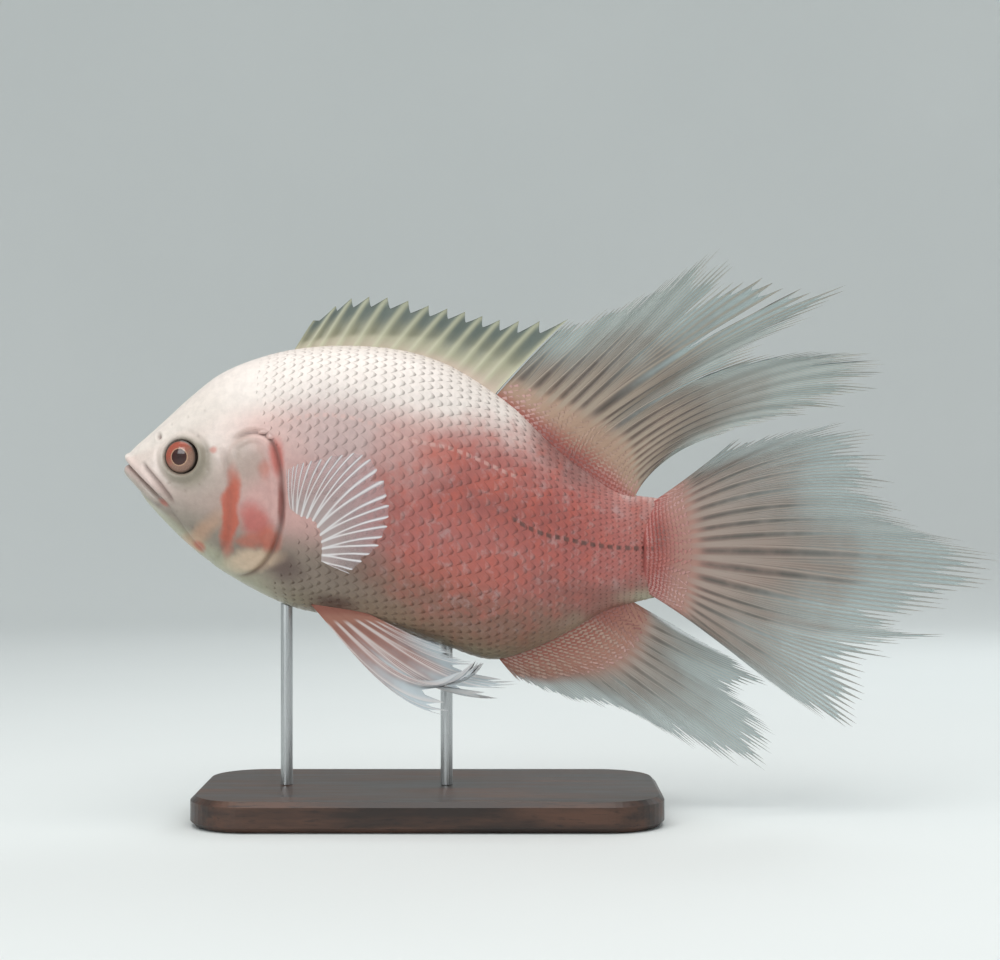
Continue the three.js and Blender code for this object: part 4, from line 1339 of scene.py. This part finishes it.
material, tree, shader, place = new_material(
    "wet_eye", roughness=0.35, coat_weight=0.75, coat_roughness=0.04, specular_ior_level=0.2,
)
spokes = noise(tree, place, 2200.0, 3.0, 0.7)
wavering = reckon(tree, "MULTIPLY_ADD", spokes, 0.07, stored(tree, "out"))
from_centre = vectors(tree, "SUBTRACT", place, placed(np.array([EYE_X, 0, EYE_Z])).tolist())
towards_brow = vectors(tree, "DOT_PRODUCT", from_centre, BROW_DIRECTION)
outside_pupil = between(tree, wavering, 0.53, 0.6)
inside_rim = between(tree, wavering, 0.88, 0.98, 1.0, 0.0)
salmon = times(
    tree, between(tree, towards_brow, -0.002, 0.004, 0.25, 0.95),
    times(tree, outside_pupil, inside_rim),
)
iris = lay(tree, salmon, colours_along(tree, wavering, IRIS_RINGS), "a84f3c")
feed(tree, shader, {"Base Color": dimmed(tree, iris, uneven(tree, spokes, 0.8, 1.12))})
for piece in bpy.data.objects:
    if piece.name.endswith("_eye"):
        wear(piece, material)

# %% [markdown]
# ## The stand
# The stand is the museum's: a dark oiled wooden base and two steel rods. The solids have the
# right shape, so they keep it and only get a finish. Wood is rings of growth cut lengthwise, which
# is noise stretched along the grain, and drawn steel has fine scratches along the rod.

# %% Stand finishes
material, tree, shader, place = new_material("oiled_wood", coat_weight=0.15, coat_roughness=0.3)
stretched = add(tree, "Mapping", {"Vector": place, "Scale": (9.0, 70.0, 70.0)}).outputs[0]
figure = noise(tree, stretched, 1.6, 6.0, 0.6)
pores = noise(tree, stretched, 14.0, 2.0, 0.5)
paint = lay(tree, between(tree, figure, 0.35, 0.68), "241610", "57392a")
feed(tree, shader, {
    "Base Color": lay(tree, between(tree, pores, 0.56, 0.7, 0.0, 0.6), paint, "150d09"),
    "Roughness": uneven(tree, figure, 0.38, 0.52),
    "Normal": bumped(tree, pores, 0.15),
})
wear(frame["nodes"]["stand_base"], material)

material, tree, shader, place = new_material("drawn_steel", metallic=1.0)
stretched = add(tree, "Mapping", {"Vector": place, "Scale": (1600.0, 1600.0, 30.0)}).outputs[0]
scratches = noise(tree, stretched, 1.0, 2.0)
feed(tree, shader, {
    "Base Color": lay(tree, scratches, "a4a6a8", "cfd1d2"),
    "Roughness": uneven(tree, scratches, 0.24, 0.4),
})
for name in ("stand_rod_front", "stand_rod_rear"):
    wear(frame["nodes"][name], material)

# %% [markdown]
# ## Light, floor and camera
# A pale round floor that curves up into a low wall on all sides gives soft light and no horizon
# from wherever one looks. The light in the photograph comes from above, so a wide lamp hangs over
# the fish. A weaker one fills the near side, and one behind shows the thin edges of the fins. The
# camera is level, as far off as a person who looks at a tank, with the fish as large in the
# picture as in the photograph.

# %% Round sweep
FLOOR_RADIUS, SWEEP_RADIUS, SWEEP_TOP = 1.15, 0.75, 1.0
INNER_RINGS = (0.3, 0.7)
FLOOR_DROP = 0.0004
SWEEP_TURNS, SWEEP_STEPS = 128, 24

quarter = np.linspace(0, np.pi / 2, SWEEP_STEPS)
wall_radius = FLOOR_RADIUS + SWEEP_RADIUS
curved = FLOOR_RADIUS + SWEEP_RADIUS * np.sin(quarter)
radius = np.concatenate([INNER_RINGS, curved, [wall_radius]])
height = np.concatenate([[0, 0], SWEEP_RADIUS * (1 - np.cos(quarter)), [SWEEP_TOP]]) - FLOOR_DROP
turn = np.linspace(0, 2 * np.pi, SWEEP_TURNS, endpoint=False)
points = np.stack(np.broadcast_arrays(
    radius[:, None] * np.cos(turn), radius[:, None] * np.sin(turn), height[:, None]), -1)
points = np.concatenate([points.reshape(-1, 3), [[0, 0, -FLOOR_DROP]]])
beside = np.roll(np.arange(SWEEP_TURNS), -1)
middle_fan = np.stack([np.arange(SWEEP_TURNS), beside, np.full(SWEEP_TURNS, len(points) - 1)], 1)
faces = grid_faces(len(radius), SWEEP_TURNS, wrap=True)[:, ::-1].tolist() + middle_fan.tolist()
sweep = in_scene("studio_sweep", smooth_mesh("studio_sweep", points, faces))
sweep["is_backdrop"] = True
material, tree, shader, place = new_material("pale_sweep", roughness=0.75)
feed(tree, shader, {"Base Color": lay(tree, noise(tree, place, 3.0), "dfe3e2", "e6e9e8")})
wear(sweep, material)

# %% Lamps and air
TARGET = Vector((0.05, 0, 0.14))

for name, place, size, power, tint in (
    ("overhead", (-0.05, -0.3, 1.15), 1.1, 9.6, (1.0, 0.99, 0.97)),
    ("near_fill", (-0.75, -1.15, 0.6), 0.5, 4.8, (0.96, 0.99, 1.0)),
    ("behind", (0.6, 0.8, 0.75), 0.6, 3.5, (0.93, 0.98, 1.0)),
):
    light = bpy.data.lights.new(name, "AREA")
    light.size, light.energy, light.color = size, power, tint
    made = in_scene(name, light)
    made.location = place
    made.rotation_mode = "QUATERNION"
    made.rotation_quaternion = (TARGET - Vector(place)).to_track_quat("-Z", "Y")
    print(name, power, "W")

world = bpy.data.worlds.new("studio_air")
world.use_nodes = True
background = world.node_tree.nodes["Background"]
background.inputs["Color"].default_value = (0.9, 0.95, 0.97, 1)
background.inputs["Strength"].default_value = 0.43
bpy.context.scene.world = world
bpy.context.scene.view_settings.view_transform = "Standard"

# %% Camera
MM_PER_PIXEL = 0.413
SNOUT_PIXEL = (127, 465)
PICTURE = (1000, 960)
CAMERA_DISTANCE = 850
SENSOR_WIDTH = 36

view = bpy.data.cameras.new("level_view")
view.sensor_width = SENSOR_WIDTH
view.lens = SENSOR_WIDTH * CAMERA_DISTANCE / (PICTURE[0] * MM_PER_PIXEL)
camera_x = (PICTURE[0] / 2 - SNOUT_PIXEL[0]) * MM_PER_PIXEL
camera_z = (SNOUT_PIXEL[1] - PICTURE[1] / 2) * MM_PER_PIXEL
camera = in_scene("level_view", view)
camera.location = placed(np.array([camera_x, -CAMERA_DISTANCE, camera_z])).tolist()
camera.rotation_euler = (np.pi / 2, 0, 0)
bpy.context.scene.camera = camera
print("lens", round(view.lens, 1), "mm, camera", np.round(camera.location, 3))

# %% Sizes and the last line
visual_box = [list(corner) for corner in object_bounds()]
grown = np.array(visual_box) - np.array(cad_box)
print("visual box against the solids' box, in mm:", np.round(grown * 1000, 1).tolist())
